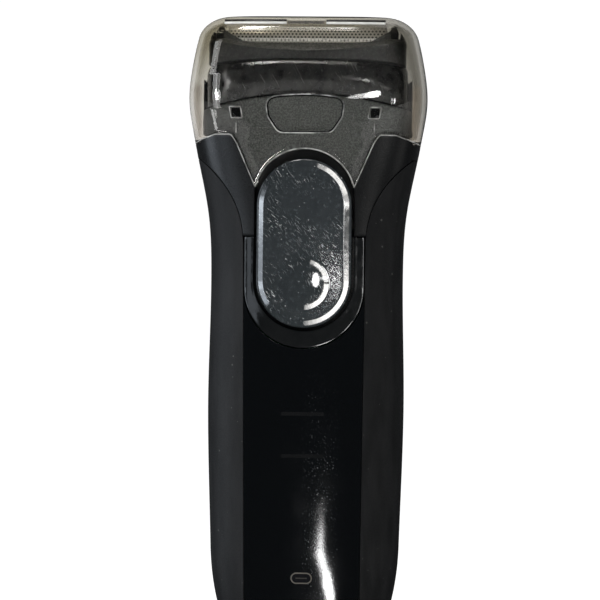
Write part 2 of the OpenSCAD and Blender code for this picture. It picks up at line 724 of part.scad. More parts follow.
// Cover along the back of the handle, with a slot for the trimmer's stem
module rear_cover() {
  rows = concat(
    spread(z_skin, base_round_h, 6),
    spread(base_round_h, swing_z, 8),
    spread(swing_z, z_cap - seam_gap, 5),
    [z_cap - seam_gap]);
  steps = 14;
  function turn(z, i) = lerp(180 - turn_of(back_half, z), 180 + turn_of(back_half, z), i / steps);
  function grid(inset) = [for (i = [0:steps]) [for (z = rows) skin(turn(z, i), z, inset)]];
  slot_w = stem_w / 2 + clear;
  slot_low = thumb_z - clear;
  slot_high = thumb_z + thumb_stem_h + trimmer_travel + clear;
  color(black) difference() {
    shell(grid(0), grid(panel_t));
    box([-slot_w, neck_back + cut, slot_low], [slot_w, thumb_reach, slot_high]);
  }
}

// Foot of the handle with the opening of the power inlet
module base_cap() {
  rows = [0, 0.12, 0.3, 0.6, 1];
  color(black) difference() {
    stack([for (i = [0:rings - 1]) [for (t = rows) skin(360 * i / rings, base_h * t)]]);
    translate([0, 0, -cut]) linear_extrude(base_h + 2 * cut) pill(inlet_d / 2, inlet_w - inlet_d);
  }
}

// Gasket between the base cap and the power inlet
module inlet_seal() {
  color("#3a2f2c") translate([0, 0, base_h + touch / 2]) linear_extrude(gasket_t) difference() {
    pill(inlet_d / 2 + inlet_wall, inlet_w - inlet_d);
    pill(inlet_d / 2, inlet_w - inlet_d);
  }
}

// Blind socket for the charging lead
module inlet_socket() {
  color(black) difference() {
    translate([0, 0, inlet_low]) linear_extrude(inlet_top - inlet_low)
      pill(inlet_d / 2 + inlet_wall, inlet_w - inlet_d);
    translate([0, 0, inlet_low - cut]) linear_extrude(inlet_deep - inlet_low + cut)
      pill(inlet_d / 2, inlet_w - inlet_d);
    for (s = [-1, 1]) translate([s * inlet_pitch / 2, 0, inlet_deep - cut])
      cylinder(d = inlet_pin_d + 2 * run_gap, h = inlet_top - inlet_deep + 2 * cut);
  }
}

// Two contact pins in the socket
module inlet_pins() {
  tip = inlet_deep - inlet_pin_l;
  color(brass) for (s = [-1, 1]) translate([s * inlet_pitch / 2, 0, tip])
    cylinder(d = inlet_pin_d, h = inlet_top + 2 - tip);
}

// Window of the charge light
module charge_light() {
  color("#5a6068") to_front(board_front + 1.4, front(light_z) - touch) translate([0, light_z])
    pill(light_h / 2, light_w - light_h);
}

// Two dim level bars set in the front panel
module level_bars() {
  color("#2a2c30") for (i = [0, 1])
    let (z = bar_z + i * bar_pitch)
      to_front(front(z) - panel_t - touch, face_y(bar_w / 2, z))
        translate([0, z]) square([bar_w, bar_h], center = true);
}

// Inner frame that carries the motor, the cells and the circuit board
module chassis() {
  shelf_w = 16.6;
  shelf_back = 9.8;
  shelf_front = board_front - board_t - touch;
  post_x = [15.2, 18.4];
  post_half = 1.8;
  post_top = deck_z - touch;
  screw_deep = 4;
  mount_half = 18.6;
  mount_front = 8.4;
  mount_back = 8;
  wall_y = [-4, 8];
  rib_y = 4.5;
  rib_gap = 0.6;
  leg_half_d = 3;
  leg_from = 12;
  module shelf(z) box([-shelf_w, -shelf_front, z], [shelf_w, shelf_back, z + shelf_t]);
  color("#3b4046") difference() {
    union() {
      shelf(low_shelf);
      shelf(high_shelf);
      box([-mount_half, -mount_front, motor_top], [mount_half, mount_back, motor_top + mount_t]);
      both_sides() {
        box([shelf_w - shelf_t, wall_y[0], low_shelf], [shelf_w, wall_y[1], high_shelf + shelf_t]);
        translate([motor_d / 2 + rib_gap, 0, 0])
          box([0, -rib_y, high_shelf], [shelf_t, rib_y, motor_top + mount_t]);
        box([leg_from, -leg_half_d, base_h + touch], [leg_from + shelf_t, leg_half_d, low_shelf + shelf_t]);
        for (s = [-1, 1]) box(
          [post_x[0], s * rod_y - post_half, motor_top],
          [post_x[1], s * rod_y + post_half, post_top]);
      }
    }
    translate([0, 0, motor_top - cut]) cylinder(d = boss_d + 4 * touch, h = mount_t + 2 * cut);
    for (s = [-1, 1]) {
      translate([0, s * motor_screw_y, motor_top - cut]) cylinder(d = screw_d + 2 * touch, h = mount_t + 2 * cut);
      along_x(-rod_l / 2, rod_l / 2) translate([s * rod_y, rod_z]) circle(d = rod_d + 2 * run_gap);
      for (x = [-1, 1]) translate([x * deck_screw_x, s * rod_y, post_top - screw_deep])
        cylinder(d = screw_d + 2 * touch, h = screw_deep + cut);
    }
  }
}

// Two rechargeable cells side by side
module battery_cells() {
  nub_d = 5;
  nub_h = 1.2;
  color("#3f6f58") for (s = [-1, 1]) translate([s * cell_x, cell_y, cell_low]) {
    cylinder(d = cell_d, h = cell_l - nub_h);
    translate([0, 0, cell_l - nub_h - touch]) cylinder(d = nub_d, h = nub_h + touch);
  }
}

// Nickel straps that join the cells
module battery_tabs() {
  strap_h = 6;
  strap_y = cell_y - strap_h / 2;
  top_z = cell_low + cell_l + touch;
  color(steel) {
    box([-cell_x - 3, strap_y, cell_low - tab_t - touch / 2], [cell_x + 3, strap_y + strap_h, cell_low - touch / 2]);
    for (s = [-1, 1]) box([s * cell_x - 3, strap_y, top_z], [s * cell_x + 3, strap_y + strap_h, top_z + tab_t]);
  }
}

// Circuit board behind the front panel
module circuit_board() {
  color("#2f5d3a") box([-board_w / 2, -board_front, board_low], [board_w / 2, -board_front + board_t, board_top]);
}

// Lamps and chips on the circuit board
module board_parts() {
  back_y = -board_front + board_t + touch / 2;
  front_y = -board_front - touch / 2;
  lamp = 1.1;
  can_z = cell_low + 5;
  chip_z = can_z + 12;
  choke_z = chip_z + 12;
  color("#23262b") {
    box([-3, back_y, chip_z], [3, back_y + 1.1, chip_z + 6]);
    box([-9, back_y, choke_z], [-5, back_y + 1.6, choke_z + 8]);
    translate([6, back_y, can_z]) rotate([-90, 0, 0]) cylinder(d = 5, h = 2.2);
    box([-lamp, front_y - lamp, light_z - lamp], [lamp, front_y, light_z + lamp]);
    for (z = [bar_z, bar_z + bar_pitch]) box([-lamp, front_y - lamp, z - lamp], [lamp, front_y, z + lamp]);
  }
}

// Electric slide switch moved by the power switch's stem
module slide_switch() {
  rise = plate_front - plate_t - 0.2;
  slot_w = stem_w / 2 + clear;
  color("#4a4d52") difference() {
    box([-4.5, -rise, stem_z - 2.2], [4.5, -board_front - touch / 2, stem_z + stem_h + switch_travel + 2]);
    box([-slot_w, -rise - cut, stem_z - clear],
      [slot_w, -board_front - 0.5, stem_z + stem_h + switch_travel + clear]);
  }
}

// Motor can with the boss that centres it
module motor_can() {
  color(steel) difference() {
    union() {
      translate([0, 0, motor_top - motor_l]) cylinder(d = motor_d, h = motor_l - touch);
      translate([0, 0, motor_top - cut]) cylinder(d = boss_d, h = boss_rise + cut);
    }
    translate([0, 0, motor_top - motor_l - cut]) cylinder(d = motor_d - 2 * can_t, h = motor_l - can_top + cut);
    translate([0, 0, motor_top - can_top - cut])
      cylinder(d = shaft_d + 2 * run_gap, h = can_top + mount_t + 2 * cut);
    for (s = [-1, 1]) translate([0, s * motor_screw_y, motor_top - 3])
      cylinder(d = screw_d + 2 * touch, h = 3 + cut);
  }
}

// Wound armature that turns in the motor
module motor_armature() {
  low = motor_top - motor_l + 2;
  high = motor_top - can_top - 1;
  slots = 3;
  color("#8a4b2c") difference() {
    translate([0, 0, low]) cylinder(d = motor_d - 2 * can_t - 2.4, h = high - low);
    translate([0, 0, low - cut]) cylinder(d = shaft_d + 0.04, h = high - low + 2 * cut);
    for (i = [1:slots]) rotate(360 * i / slots) translate([motor_d / 4, -0.6, low - cut])
      cube([motor_d, 1.2, high - low + 2 * cut]);
  }
}

// Plastic end of the motor with its two terminals
module motor_endcap() {
  low = motor_top - motor_l - 2.1;
  color("#d8d6cf") {
    difference() {
      translate([0, 0, low]) cylinder(d = motor_d - 1, h = 2);
      translate([0, 0, low + 0.8]) cylinder(d = shaft_d + 2 * run_gap, h = 2);
    }
    for (s = [-1, 1]) box([s * 6 - 1, 5, low - 2], [s * 6 + 1, 5.4, low + touch]);
  }
}

// Motor shaft
module motor_shaft() {
  low = motor_top - motor_l - 0.9;
  color(steel) translate([0, 0, low]) cylinder(d = shaft_d, h = hub_low + hub_t - low - 0.2);
}

// Eccentric on the shaft, whose pin swings the drive bridge
module eccentric() {
  color("#c9c4b8") difference() {
    union() {
      translate([0, 0, hub_low]) cylinder(d = hub_d, h = hub_t);
      translate([0, crank, hub_low + hub_t - touch]) cylinder(d = crank_pin_d, h = crank_l + touch);
    }
    translate([0, 0, hub_low - cut]) cylinder(d = shaft_d + 0.04, h = hub_t + cut - touch);
  }
}

// Two screws that hold the motor
module motor_screws() {
  deep = 2;
  color(steel) for (s = [-1, 1]) translate([0, s * motor_screw_y, motor_top]) {
    translate([0, 0, -deep]) cylinder(d = screw_d, h = deep + mount_t + touch);
    translate([0, 0, mount_t + touch / 2]) cylinder(d = screw_head_d, h = screw_head_h);
  }
}

// Bridge that carries the drive pins and slides from side to side
module drive_bridge() {
  bridge_x = 13;
  bridge_y = 8;
  slot_w = crank_pin_d / 2 + crank_gap;
  slot_y = crank + crank_pin_d / 2 + clear;
  top = bridge_low + bridge_t;
  bore_d = drive_pin_d + 2 * run_gap;
  color("#dcdad2") difference() {
    union() {
      box([-bridge_x, -bridge_y, bridge_low], [bridge_x, bridge_y, top]);
      for (y = pin_seats) translate([0, y, top - touch]) cylinder(d = tube_d, h = tube_top - top + touch);
    }
    box([-slot_w, -slot_y, bridge_low - cut], [slot_w, slot_y, bridge_low + slot_h]);
    for (s = [-1, 1]) along_x(-bridge_x - cut, bridge_x + cut)
      translate([s * rod_y, rod_z]) circle(d = rod_d + 2 * run_gap);
    for (y = pin_seats) translate([0, y, pin_low - float_travel - clear]) cylinder(d = bore_d, h = tube_top);
  }
}

// Two rods that the bridge slides on
module guide_rods() {
  color(steel) for (s = [-1, 1]) along_x(-rod_l / 2 + touch, rod_l / 2 - touch)
    translate([s * rod_y, rod_z]) circle(d = rod_d);
}

// Spring-loaded pins that drive the cutters
module drive_pin(y) {
  color(steel) translate([0, y, 0]) {
    translate([0, 0, pin_low]) cylinder(d = drive_pin_d, h = pin_top - pin_low);
    translate([0, 0, collar_z]) cylinder(d = tube_d - 0.4, h = collar_t);
  }
}
module drive_pin_front() drive_pin(-foil_y);
module drive_pin_middle() drive_pin(0);
module drive_pin_rear() drive_pin(foil_y);

// Coil springs under the pins' collars
pin_spring_r = drive_pin_d / 2 + wire_d / 2 + 0.15;
module pin_spring(y) {
  color(steel) translate([0, y, tube_top + touch / 2]) coil(pin_spring_r, collar_z - tube_top - touch);
}
module pin_spring_front() pin_spring(-foil_y);
module pin_spring_middle() pin_spring(0);
module pin_spring_rear() pin_spring(foil_y);

// Deck that closes the neck, with slots for the drive tubes and stops for the button springs
stop_in = 11.2;
stop_x = neck_half - stop_in;
stop_t = 1.2;
spring_room = 4;
spring_r = 1.2;
stem_half = 2.2;
stem_low = deck_z + deck_t + touch;
stem_rise = 3.2;
module deck() {
  inset = neck_t + 0.2;
  color(black) difference() {
    union() {
      translate([0, 0, deck_z]) linear_extrude(deck_t)
        polygon(loop(neck_half - inset, neck_front - inset, neck_back - inset, neck_square));
      both_sides() box([stop_x - stop_t, -stem_half, deck_z], [stop_x, stem_half, stem_low + stem_rise]);
    }
    for (y = pin_seats) translate([0, y, deck_z - cut]) linear_extrude(deck_t + 2 * cut)
      pill(tube_d / 2 + clear, 2 * stroke);
    for (x = [-1, 1], s = [-1, 1]) translate([x * deck_screw_x, s * rod_y, deck_z - cut])
      cylinder(d = screw_d + 2 * touch, h = deck_t + 2 * cut);
  }
}

// Gasket under the rim of the deck
module deck_gasket() {
  inset = neck_t + 0.25;
  rim = 1.2;
  color("#3a2f2c") translate([0, 0, deck_z - gasket_t - touch / 2]) linear_extrude(gasket_t) difference() {
    polygon(loop(neck_half - inset, neck_front - inset, neck_back - inset, neck_square));
    polygon(loop(neck_half - inset - rim, neck_front - inset - rim, neck_back - inset - rim, neck_square));
  }
}

// Four screws that hold the deck
module deck_screws() {
  deep = 3.6;
  color(steel) for (x = [-1, 1], s = [-1, 1]) translate([x * deck_screw_x, s * rod_y, deck_z]) {
    translate([0, 0, -deep]) cylinder(d = screw_d, h = deep + deck_t + touch);
    translate([0, 0, deck_t + touch / 2]) cylinder(d = screw_head_d, h = screw_head_h);
  }
}

// Button on the side of the head that lets the cassette go
release_top = z_cap + release_rise;
button_t = 1.2;
button_slot = release_d / 2 + clear;
module release_button() {
  top_bevel = 1;
  difference() {
    union() {
      translate([0, 0, stem_low]) linear_extrude(release_top - stem_low) intersection() {
        difference() {
          polygon(loop(neck_half, neck_front, neck_back, neck_square));
          polygon(loop(neck_half - button_t, neck_front, neck_back, neck_square));
        }
        translate([neck_half - 3, -release_d / 2]) square([4, release_d]);
      }
      box([stop_x + spring_room, -stem_half, stem_low],
        [neck_half - button_t + touch, stem_half, stem_low + stem_rise]);
    }
    translate([neck_half - top_bevel, 0, release_top]) rotate([0, 45, 0])
      cube([2, 2 * release_d, 2 * top_bevel], center = true);
  }
}
module release_right() { color(black) release_button(); }
module release_left() { color(black) mirror([1, 0, 0]) release_button(); }

// Springs that push the release buttons out
module release_spring() {
  translate([stop_x + touch / 2, 0, stem_low + stem_rise / 2]) rotate([0, 90, 0])
    coil(spring_r, spring_room - touch);
}
module release_spring_right() { color(steel) release_spring(); }
module release_spring_left() { color(steel) mirror([1, 0, 0]) release_spring(); }

// Glossy band around the cassette, arched above and below and notched for the buttons
module cassette_band() {
  rows = [0, 0.1, 0.35, 0.65, 0.88, 1];
  band_front = neck_front;
  band_back = neck_back - 0.3;
  swell_out = 0.55;
  roll_in = 0.7;
  // The band swells in the middle and rolls in at its crest
  function swell(t) = swell_out * sin(180 * t) - roll_in * pow(t, 6);
  function ring(a, inset) = [for (t = rows) let (
      s = inset > 0 ? -inset : swell(t),
      p = outline(a, band_half + min(0, s), band_front + s, band_back + min(0, s), neck_square),
      foot = arch_z(p[0]) + head_gap
    ) [p[0], p[1], lerp(foot, crest(p[0]), t)]];
  turns = [for (i = [0:rings - 1]) 360 * i / rings];
  notch_in = band_half - band_t - cut;
  color(gloss) difference() {
    shell([for (a = turns) ring(a, 0)], [for (a = turns) ring(a, band_t)], closed = true);
    both_sides() box([notch_in, -button_slot, stem_low], [neck_half + cut, button_slot, release_top + clear]);
  }
}

// Cassette frame that holds the foils, with a bevel along its upper edge
module cassette_frame() {
  frame_square = 8;
  hidden_w = band_half - band_t - clear;
  hidden_f = neck_front - band_t - clear;
  hidden_r = neck_back - band_t - 0.3 - clear;
  bevel_low = crest_z + 2.8;
  bevel_rise = 1.5;
  function at(a, w, f, r, n, z) = let (p = outline(a, w, f, r, n)) [p[0], p[1], z];
  function column(a) = let (
      step_z = crest(outline(a, hidden_w, hidden_f, hidden_r, neck_square)[0]) + touch,
      x = outline(a, frame_half, frame_front, frame_back, frame_square)[0],
      brow_z = bevel_low + bevel_rise * pow(min(1, abs(x) / (foil_l / 2)), 2)
    ) [
    at(a, hidden_w, hidden_f, hidden_r, neck_square, frame_low),
    at(a, hidden_w, hidden_f, hidden_r, neck_square, step_z),
    at(a, frame_half, frame_front, frame_back, frame_square, step_z + touch),
    at(a, frame_half, frame_front, frame_back, frame_square, brow_z),
    at(a, frame_half - 0.3, frame_front - 1.5, frame_back - 0.8, frame_square, frame_top)
  ];
  color(black) difference() {
    stack([for (i = [0:rings - 1]) column(360 * i / rings)]);
    box([-opening_half, -opening_d, frame_low - cut], [opening_half, opening_d, frame_top + cut]);
  }
}

// A round arch on two straight legs
module arch(r, leg) {
  intersection() {
    circle(r);
    translate([-r, 0]) square([2 * r, r]);
  }
  translate([-r, -leg]) square([2 * r, leg]);
}

// Thin arched shaving foil
module foil(y) {
  color(steel) along_x(-foil_l / 2, foil_l / 2) translate([y, foil_z]) difference() {
    arch(foil_r, foil_leg);
    translate([0, -touch]) arch(foil_r - foil_t, foil_leg + cut);
  }
}
module foil_front() foil(-foil_y);
module foil_rear() foil(foil_y);

// Floating holder of a foil: peaked end blocks joined by two rails
module foil_holder(y) {
  from = foil_l / 2 + touch / 2;
  to = holder_half;
  peak = foil_z + foil_r;
  shoulder_z = frame_top + 1;
  color(black) {
    both_sides() intersection() {
      along_x(from, to) translate([y, foil_z]) arch(foil_r, foil_z - rail_low);
      to_front(-opening_d, opening_d) polygon([
        [from, rail_low], [to, rail_low], [to, shoulder_z + 0.6],
        [to - 0.8, peak], [from + 0.8, peak], [from, shoulder_z + 1]]);
    }
    for (s = [-1, 1]) translate([0, y + s * (foil_r - 0.4), 0])
      box([-from - touch, -0.4, rail_low], [from + touch, 0.4, rail_low + rail_t - touch]);
  }
}
module foil_holder_front() foil_holder(-foil_y);
module foil_holder_rear() foil_holder(foil_y);

// Row of cutter blades on a spine
module cutter(y) {
  run = foil_l - 4;
  pitch = run / (blade_count - 1);
  low = 2;
  spine_low = block_low + block_t + touch / 2;
  color("#a9adb2") {
    for (i = [0:blade_count - 1]) along_x(-run / 2 + i * pitch - blade_t / 2, -run / 2 + i * pitch + blade_t / 2)
      translate([y, foil_z]) intersection() {
        circle(cutter_r);
        translate([-cutter_r, -low]) square([2 * cutter_r, low + cutter_r]);
      }
    box([-run / 2 - blade_t, y - 1.4, spine_low], [run / 2 + blade_t, y + 1.4, foil_z - low + 0.5]);
  }
}
module cutter_front() cutter(-foil_y);
module cutter_rear() cutter(foil_y);

// Block under a cutter, with the socket of its drive pin
module pin_socket(y) translate([0, y, block_low - cut])
  cylinder(d = drive_pin_d + 2 * run_gap, h = socket_deep + cut);
module cutter_block(y) {
  color("#e2e0d8") difference() {
    box([-6, y - 2.2, block_low], [6, y + 2.2, block_low + block_t]);
    pin_socket(y);
  }
}
module cutter_block_front() cutter_block(-foil_y);
module cutter_block_rear() cutter_block(foil_y);

// Comb of the middle trimmer
middle_top = foil_z + foil_r - 0.8;
tooth_deep = 1.8;
module teeth(run, y0, y1, top, deep) {
  count = floor(run / tooth_pitch);
  for (i = [0:count - 1]) let (x = (i - (count - 1) / 2) * tooth_pitch)
    box([x - tooth_gap / 2, y0 - cut, top - deep], [x + tooth_gap / 2, y1 + cut, top + cut]);
}
module middle_comb() {
  half_l = foil_l / 2 - 1;
  wall = 0.35;
  low = block_low + block_t + 0.8;
  color(steel) {
    difference() {
      box([-half_l, -middle_half, low], [half_l, middle_half, middle_top]);
      box([-half_l - cut, -middle_half + wall, low - cut], [half_l + cut, middle_half - wall, middle_top - wall]);
      teeth(2 * half_l - 2, -middle_half, middle_half, middle_top, tooth_deep);
    }
    both_sides() box([half_l, -middle_half, rail_low], [holder_half, middle_half, middle_top - 1.2]);
  }
}

// Moving blade of the middle trimmer
module middle_blade() {
  half_l = foil_l / 2 - 3.2;
  half_d = middle_half - 0.35 - 0.2;
  top = middle_top - 0.35 - 0.2;
  color("#a9adb2") difference() {
    union() {
      box([-half_l, -half_d, block_low + block_t - touch], [half_l, half_d, top]);
      box([-5, -1.7, block_low], [5, 1.7, block_low + block_t]);
    }
    teeth(2 * half_l - 1, -half_d, half_d, top, tooth_deep);
    pin_socket(0);
  }
}

// Slide of the long-hair trimmer behind the neck
module trimmer_slide() {
  color(black) {
    box([-8, carriage_y, carriage_low], [8, carriage_y + carriage_t, z_cap]);
    box([-stem_w / 2, carriage_y + carriage_t - touch, thumb_z],
      [stem_w / 2, thumb_back + touch, thumb_z + thumb_stem_h]);
  }
}

// Ribbed thumb button of the long-hair trimmer
module trimmer_button() {
  low = thumb_z + thumb_stem_h / 2 - thumb_h / 2;
  rib_t = 0.6;
  ribs = 4;
  near = thumb_back + 1.5 * touch;
  color(gloss) {
    translate([0, near, 0]) mirror([0, 1, 0]) to_front(0, thumb_reach - near - rib_t)
      translate([-thumb_w / 2, low]) square([thumb_w, thumb_h]);
    for (i = [1:ribs]) translate([0, thumb_reach - rib_t - touch, low + i * thumb_h / (ribs + 1)])
      box([-thumb_w / 2 + 1, 0, -0.4], [thumb_w / 2 - 1, rib_t + touch, 0.4]);
  }
}

// Fixed comb of the long-hair trimmer
module trimmer_comb() {
  low = z_cap + touch / 2;
  near = carriage_y + carriage_t - 0.5;
  color(steel) difference() {
    box([-trimmer_w / 2, near, low], [trimmer_w / 2, near + 0.6, low + trimmer_h]);
    teeth(trimmer_w - 2, near, near + 0.6, low + trimmer_h, tooth_deep);
  }
}

// Moving blade of the long-hair trimmer
module trimmer_blade() {
  low = z_cap + 1;
  width = trimmer_w - 2 * stroke - 0.4;
  color("#a9adb2") difference() {
    box([-width / 2, carriage_y, low], [width / 2, carriage_y + 0.3, low + trimmer_h - 1.6]);
    teeth(width - 2, carriage_y, carriage_y + 0.3, low + trimmer_h - 1.6, tooth_deep);
  }
}

echo("least gap between a spring's turns", (collar_z - tube_top - touch - wire_d) / spring_turns - wire_d);

cap();
neck();
shoulder_left();
shoulder_right();
grip_left();
grip_right();
front_panel();
switch_bezel();
switch_plate();
power_slider();
rear_cover();
base_cap();
inlet_seal();
inlet_socket();
inlet_pins();
charge_light();
level_bars();
chassis();
battery_cells();
battery_tabs();
circuit_board();
board_parts();
slide_switch();
motor_can();
motor_endcap();
motor_armature();
motor_shaft();
eccentric();
motor_screws();
drive_bridge();
guide_rods();
drive_pin_front();
drive_pin_middle();
drive_pin_rear();
pin_spring_front();
pin_spring_middle();
pin_spring_rear();
deck();
deck_gasket();
deck_screws();
release_left();
release_right();
release_spring_left();
release_spring_right();
cassette_band();
cassette_frame();
foil_front();
foil_rear();
foil_holder_front();
foil_holder_rear();
cutter_front();
cutter_rear();
cutter_block_front();
cutter_block_rear();
middle_comb();
middle_blade();
trimmer_slide();
trimmer_button();
trimmer_comb();
trimmer_blade();
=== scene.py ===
import json
import math
import bmesh
import bpy
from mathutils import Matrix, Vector


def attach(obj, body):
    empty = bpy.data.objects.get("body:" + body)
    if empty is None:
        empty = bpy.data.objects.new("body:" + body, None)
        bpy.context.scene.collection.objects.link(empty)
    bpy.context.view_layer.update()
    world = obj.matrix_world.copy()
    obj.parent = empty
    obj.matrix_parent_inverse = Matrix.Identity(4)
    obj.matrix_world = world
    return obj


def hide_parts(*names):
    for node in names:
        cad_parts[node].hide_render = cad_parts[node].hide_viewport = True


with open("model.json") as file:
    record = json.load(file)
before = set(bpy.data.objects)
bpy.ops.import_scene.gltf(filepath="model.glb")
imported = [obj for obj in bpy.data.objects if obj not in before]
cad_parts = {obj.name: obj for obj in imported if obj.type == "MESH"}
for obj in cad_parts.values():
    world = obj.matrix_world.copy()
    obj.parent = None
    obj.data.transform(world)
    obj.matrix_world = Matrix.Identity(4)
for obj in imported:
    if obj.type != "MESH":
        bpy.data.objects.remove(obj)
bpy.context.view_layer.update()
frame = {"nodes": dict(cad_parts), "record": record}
mm = 0.001
print("frame loaded")


# Form of the body, as in the part's source: height, half width, front, back, squareness
stations = [
    (26, 23.5, 14.8, 14.8, 2.8),
    (60, 24.4, 16.2, 16.2, 2.8),
    (93, 23.9, 16.0, 15.8, 2.8),
    (108, 24.6, 16.5, 16.1, 2.9),
    (126, 28.0, 17.0, 16.4, 3.4),
    (137, 29.6, 17.2, 16.6, 3.8),
    (147.4, 28.4, 16.4, 16.4, 4.0),
    (158, 25.8, 14.6, 14.6, 4.0),
]
form = {
    "seam": 103, "cap": 126, "top": 157.5, "skin": 5.35, "gap": 0.15,
    "baseH": 26, "baseW": 9.3, "baseD": 3.9, "crownH": 5, "crownW": 6, "crownD": 4,
    "panel": 15, "taper": 0.9, "rear": 14, "swingZ": 99, "gripTop": 122, "swing": 11.4, "power": 2.57,
    "switchR": 11.7, "switchLow": 92.3, "switchHigh": 110.5, "wellR": 12.35, "face": 17.9,
    "bezelR": 14.85, "bezelZ": 90.4, "neckHalf": 26.2, "neckFront": 13.9, "neckBack": 12.6, "neckN": 4,
    "bandHalf": 25.3, "frameTop": 151.9, "foilR": 3.7, "foilY": 5.6, "foilHalf": 19.6,
}
# Lower edge of the cap: an arc over the switch, a slanted leg, a rounded step and a slow fall
capLine = {
    "arcR": 12.65, "arcZ": 111.95, "arcX": 12.25, "legX": 16.9, "legZ": 125.7,
    "stepX": 18.9, "stepZ": 128, "fallX": 22.4, "fallRun": 5.5,
}
# Curved lines across the head: height in the middle and drop at a half width
archLine = {"z": 138.1, "drop": 2.5, "half": 20.6}
crestLine = {"z": 146.6, "drop": 1.5, "half": 23.4}
browLine = {"z": 149.0, "rise": 1.7, "half": 20.3}


def lerp(a, b, t):
    return a + (b - a) * t


def slope(i, k):
    a, b = stations[max(0, i - 1)], stations[min(len(stations) - 1, i + 1)]
    return (b[k] - a[k]) / (b[0] - a[0])


def along(z, k):
    i = max([0] + [j for j in range(len(stations) - 1) if z >= stations[j][0]])
    p, q = stations[i], stations[i + 1]
    h = q[0] - p[0]
    t = (z - p[0]) / h
    if t < 0:
        return p[k] + h * slope(0, k) * t
    u = 1 - t
    return (p[k] * (1 + 2 * t) * u * u + h * slope(i, k) * t * u * u
            + q[k] * t * t * (3 - 2 * t) - h * slope(i + 1, k) * t * t * u)


def bow(t):
    return 1 - math.sqrt(max(0, 1 - t * t))


def drawn(z, low, high):
    if z < form["baseH"]:
        return low * bow((form["baseH"] - z) / form["baseH"])
    over = z - form["top"] + form["crownH"]
    return high * bow(over / form["crownH"]) if over > 0 else 0


def halfW(z):
    return along(z, 1) - drawn(z, form["baseW"], form["crownW"])


def front(z):
    return along(z, 2) - drawn(z, form["baseD"], form["crownD"])


def back(z):
    return along(z, 3) - drawn(z, form["baseD"], form["crownD"])


def outline(turn, w, f, r, n):
    s, c = math.sin(math.radians(turn)), math.cos(math.radians(turn))
    x = w * math.copysign(abs(s) ** (2 / n), s)
    y = -(f if c > 0 else r) * math.copysign(abs(c) ** (2 / n), c)
    return x, y


def skin(turn, z, inset=0):
    x, y = outline(turn, halfW(z) - inset, front(z) - inset, back(z) - inset, along(z, 4))
    return Vector((x, y, z))


def turnOf(x, z):
    return math.degrees(math.asin(min(1, x / halfW(z)) ** (along(z, 4) / 2)))


def faceY(x, z):
    n = along(z, 4)
    return front(z) * (1 - min(1, abs(x) / halfW(z)) ** n) ** (1 / n)


def panelX(z):
    return form["panel"] - form["taper"] * max(0, 1 - z / form["swingZ"])


def seamX(z):
    rise = max(0, z - form["swingZ"]) / (form["gripTop"] - form["swingZ"])
    return panelX(z) + form["swing"] * rise ** form["power"]


def seamZ(x):
    share = max(0, x - form["panel"]) / form["swing"]
    return form["swingZ"] + (form["gripTop"] - form["swingZ"]) * share ** (1 / form["power"])


def capEdge(x):
    arcX, legX, stepX = capLine["arcX"], capLine["legX"], capLine["stepX"]
    arc = lambda at: capLine["arcZ"] + math.sqrt(capLine["arcR"] ** 2 - at * at)
    if x <= arcX:
        return arc(x)
    if x <= legX:
        return lerp(arc(arcX), capLine["legZ"], (x - arcX) / (legX - arcX))
    if x <= stepX:
        return lerp(capLine["legZ"], capLine["stepZ"], math.sin(math.pi / 2 * (x - legX) / (stepX - legX)))
    return lerp(capLine["stepZ"], form["cap"], min(1, max(0, x - capLine["fallX"]) / capLine["fallRun"]))


def archZ(x):
    return archLine["z"] - archLine["drop"] * (x / archLine["half"]) ** 2


def crestZ(x):
    return crestLine["z"] - crestLine["drop"] * (x / crestLine["half"]) ** 2


def browZ(x):
    return browLine["z"] + browLine["rise"] * min(1, abs(x) / browLine["half"]) ** 2


# Grids and lofts
def grid(columns, rows, place, closed=False):
    bm = bmesh.new()
    bmesh.ops.create_grid(bm, x_segments=columns, y_segments=rows, size=0.5)
    for v in bm.verts:
        v.co = Vector(place(round((v.co.x + 0.5) * columns), round((v.co.y + 0.5) * rows))) * mm
    if closed:
        bmesh.ops.remove_doubles(bm, verts=bm.verts, dist=2e-6)
    return bm


def outward(bm):
    bmesh.ops.recalc_face_normals(bm, faces=bm.faces)
    return bm


def sealed(bm):
    bmesh.ops.holes_fill(bm, edges=[e for e in bm.edges if e.is_boundary], sides=0)
    return outward(bm)


def rings(columns, loops):
    return outward(grid(columns, len(loops) - 1, lambda i, j: loops[j](360 * i / columns), closed=True))


def tube(path, radius, sides=8):
    count = len(path)

    def place(i, j):
        here, ahead, behind = path[j % count], path[(j + 1) % count], path[j - 1]
        run = (Vector(ahead) - Vector(behind)).normalized()
        out = Vector((here[0], here[1], 0)).normalized()
        side = run.cross(out).normalized()
        a = 2 * math.pi * i / sides
        return Vector(here) + radius * (math.cos(a) * side + math.sin(a) * out)

    return outward(grid(sides, count, place, closed=True))


def rounded(corners, radius, steps=6):
    path = []
    for i, corner in enumerate(corners):
        c = Vector(corner)
        a = (Vector(corners[i - 1]) - c).normalized()
        b = (Vector(corners[(i + 1) % len(corners)]) - c).normalized()
        reach = radius / math.tan(a.angle(b) / 2)
        for k in range(steps + 1):
            t = k / steps
            p, q = c + a * reach, c + b * reach
            path.append((p.lerp(c, t)).lerp(c.lerp(q, t), t))
    return path


def joined(*parts):
    bm = bmesh.new()
    for part in parts:
        mesh = bpy.data.meshes.new("part")
        part.to_mesh(mesh)
        bm.from_mesh(mesh)
        part.free()
        bpy.data.meshes.remove(mesh)
    return bm


def flipped(bm):
    for v in bm.verts:
        v.co.x = -v.co.x
    bmesh.ops.reverse_faces(bm, faces=bm.faces)
    return bm


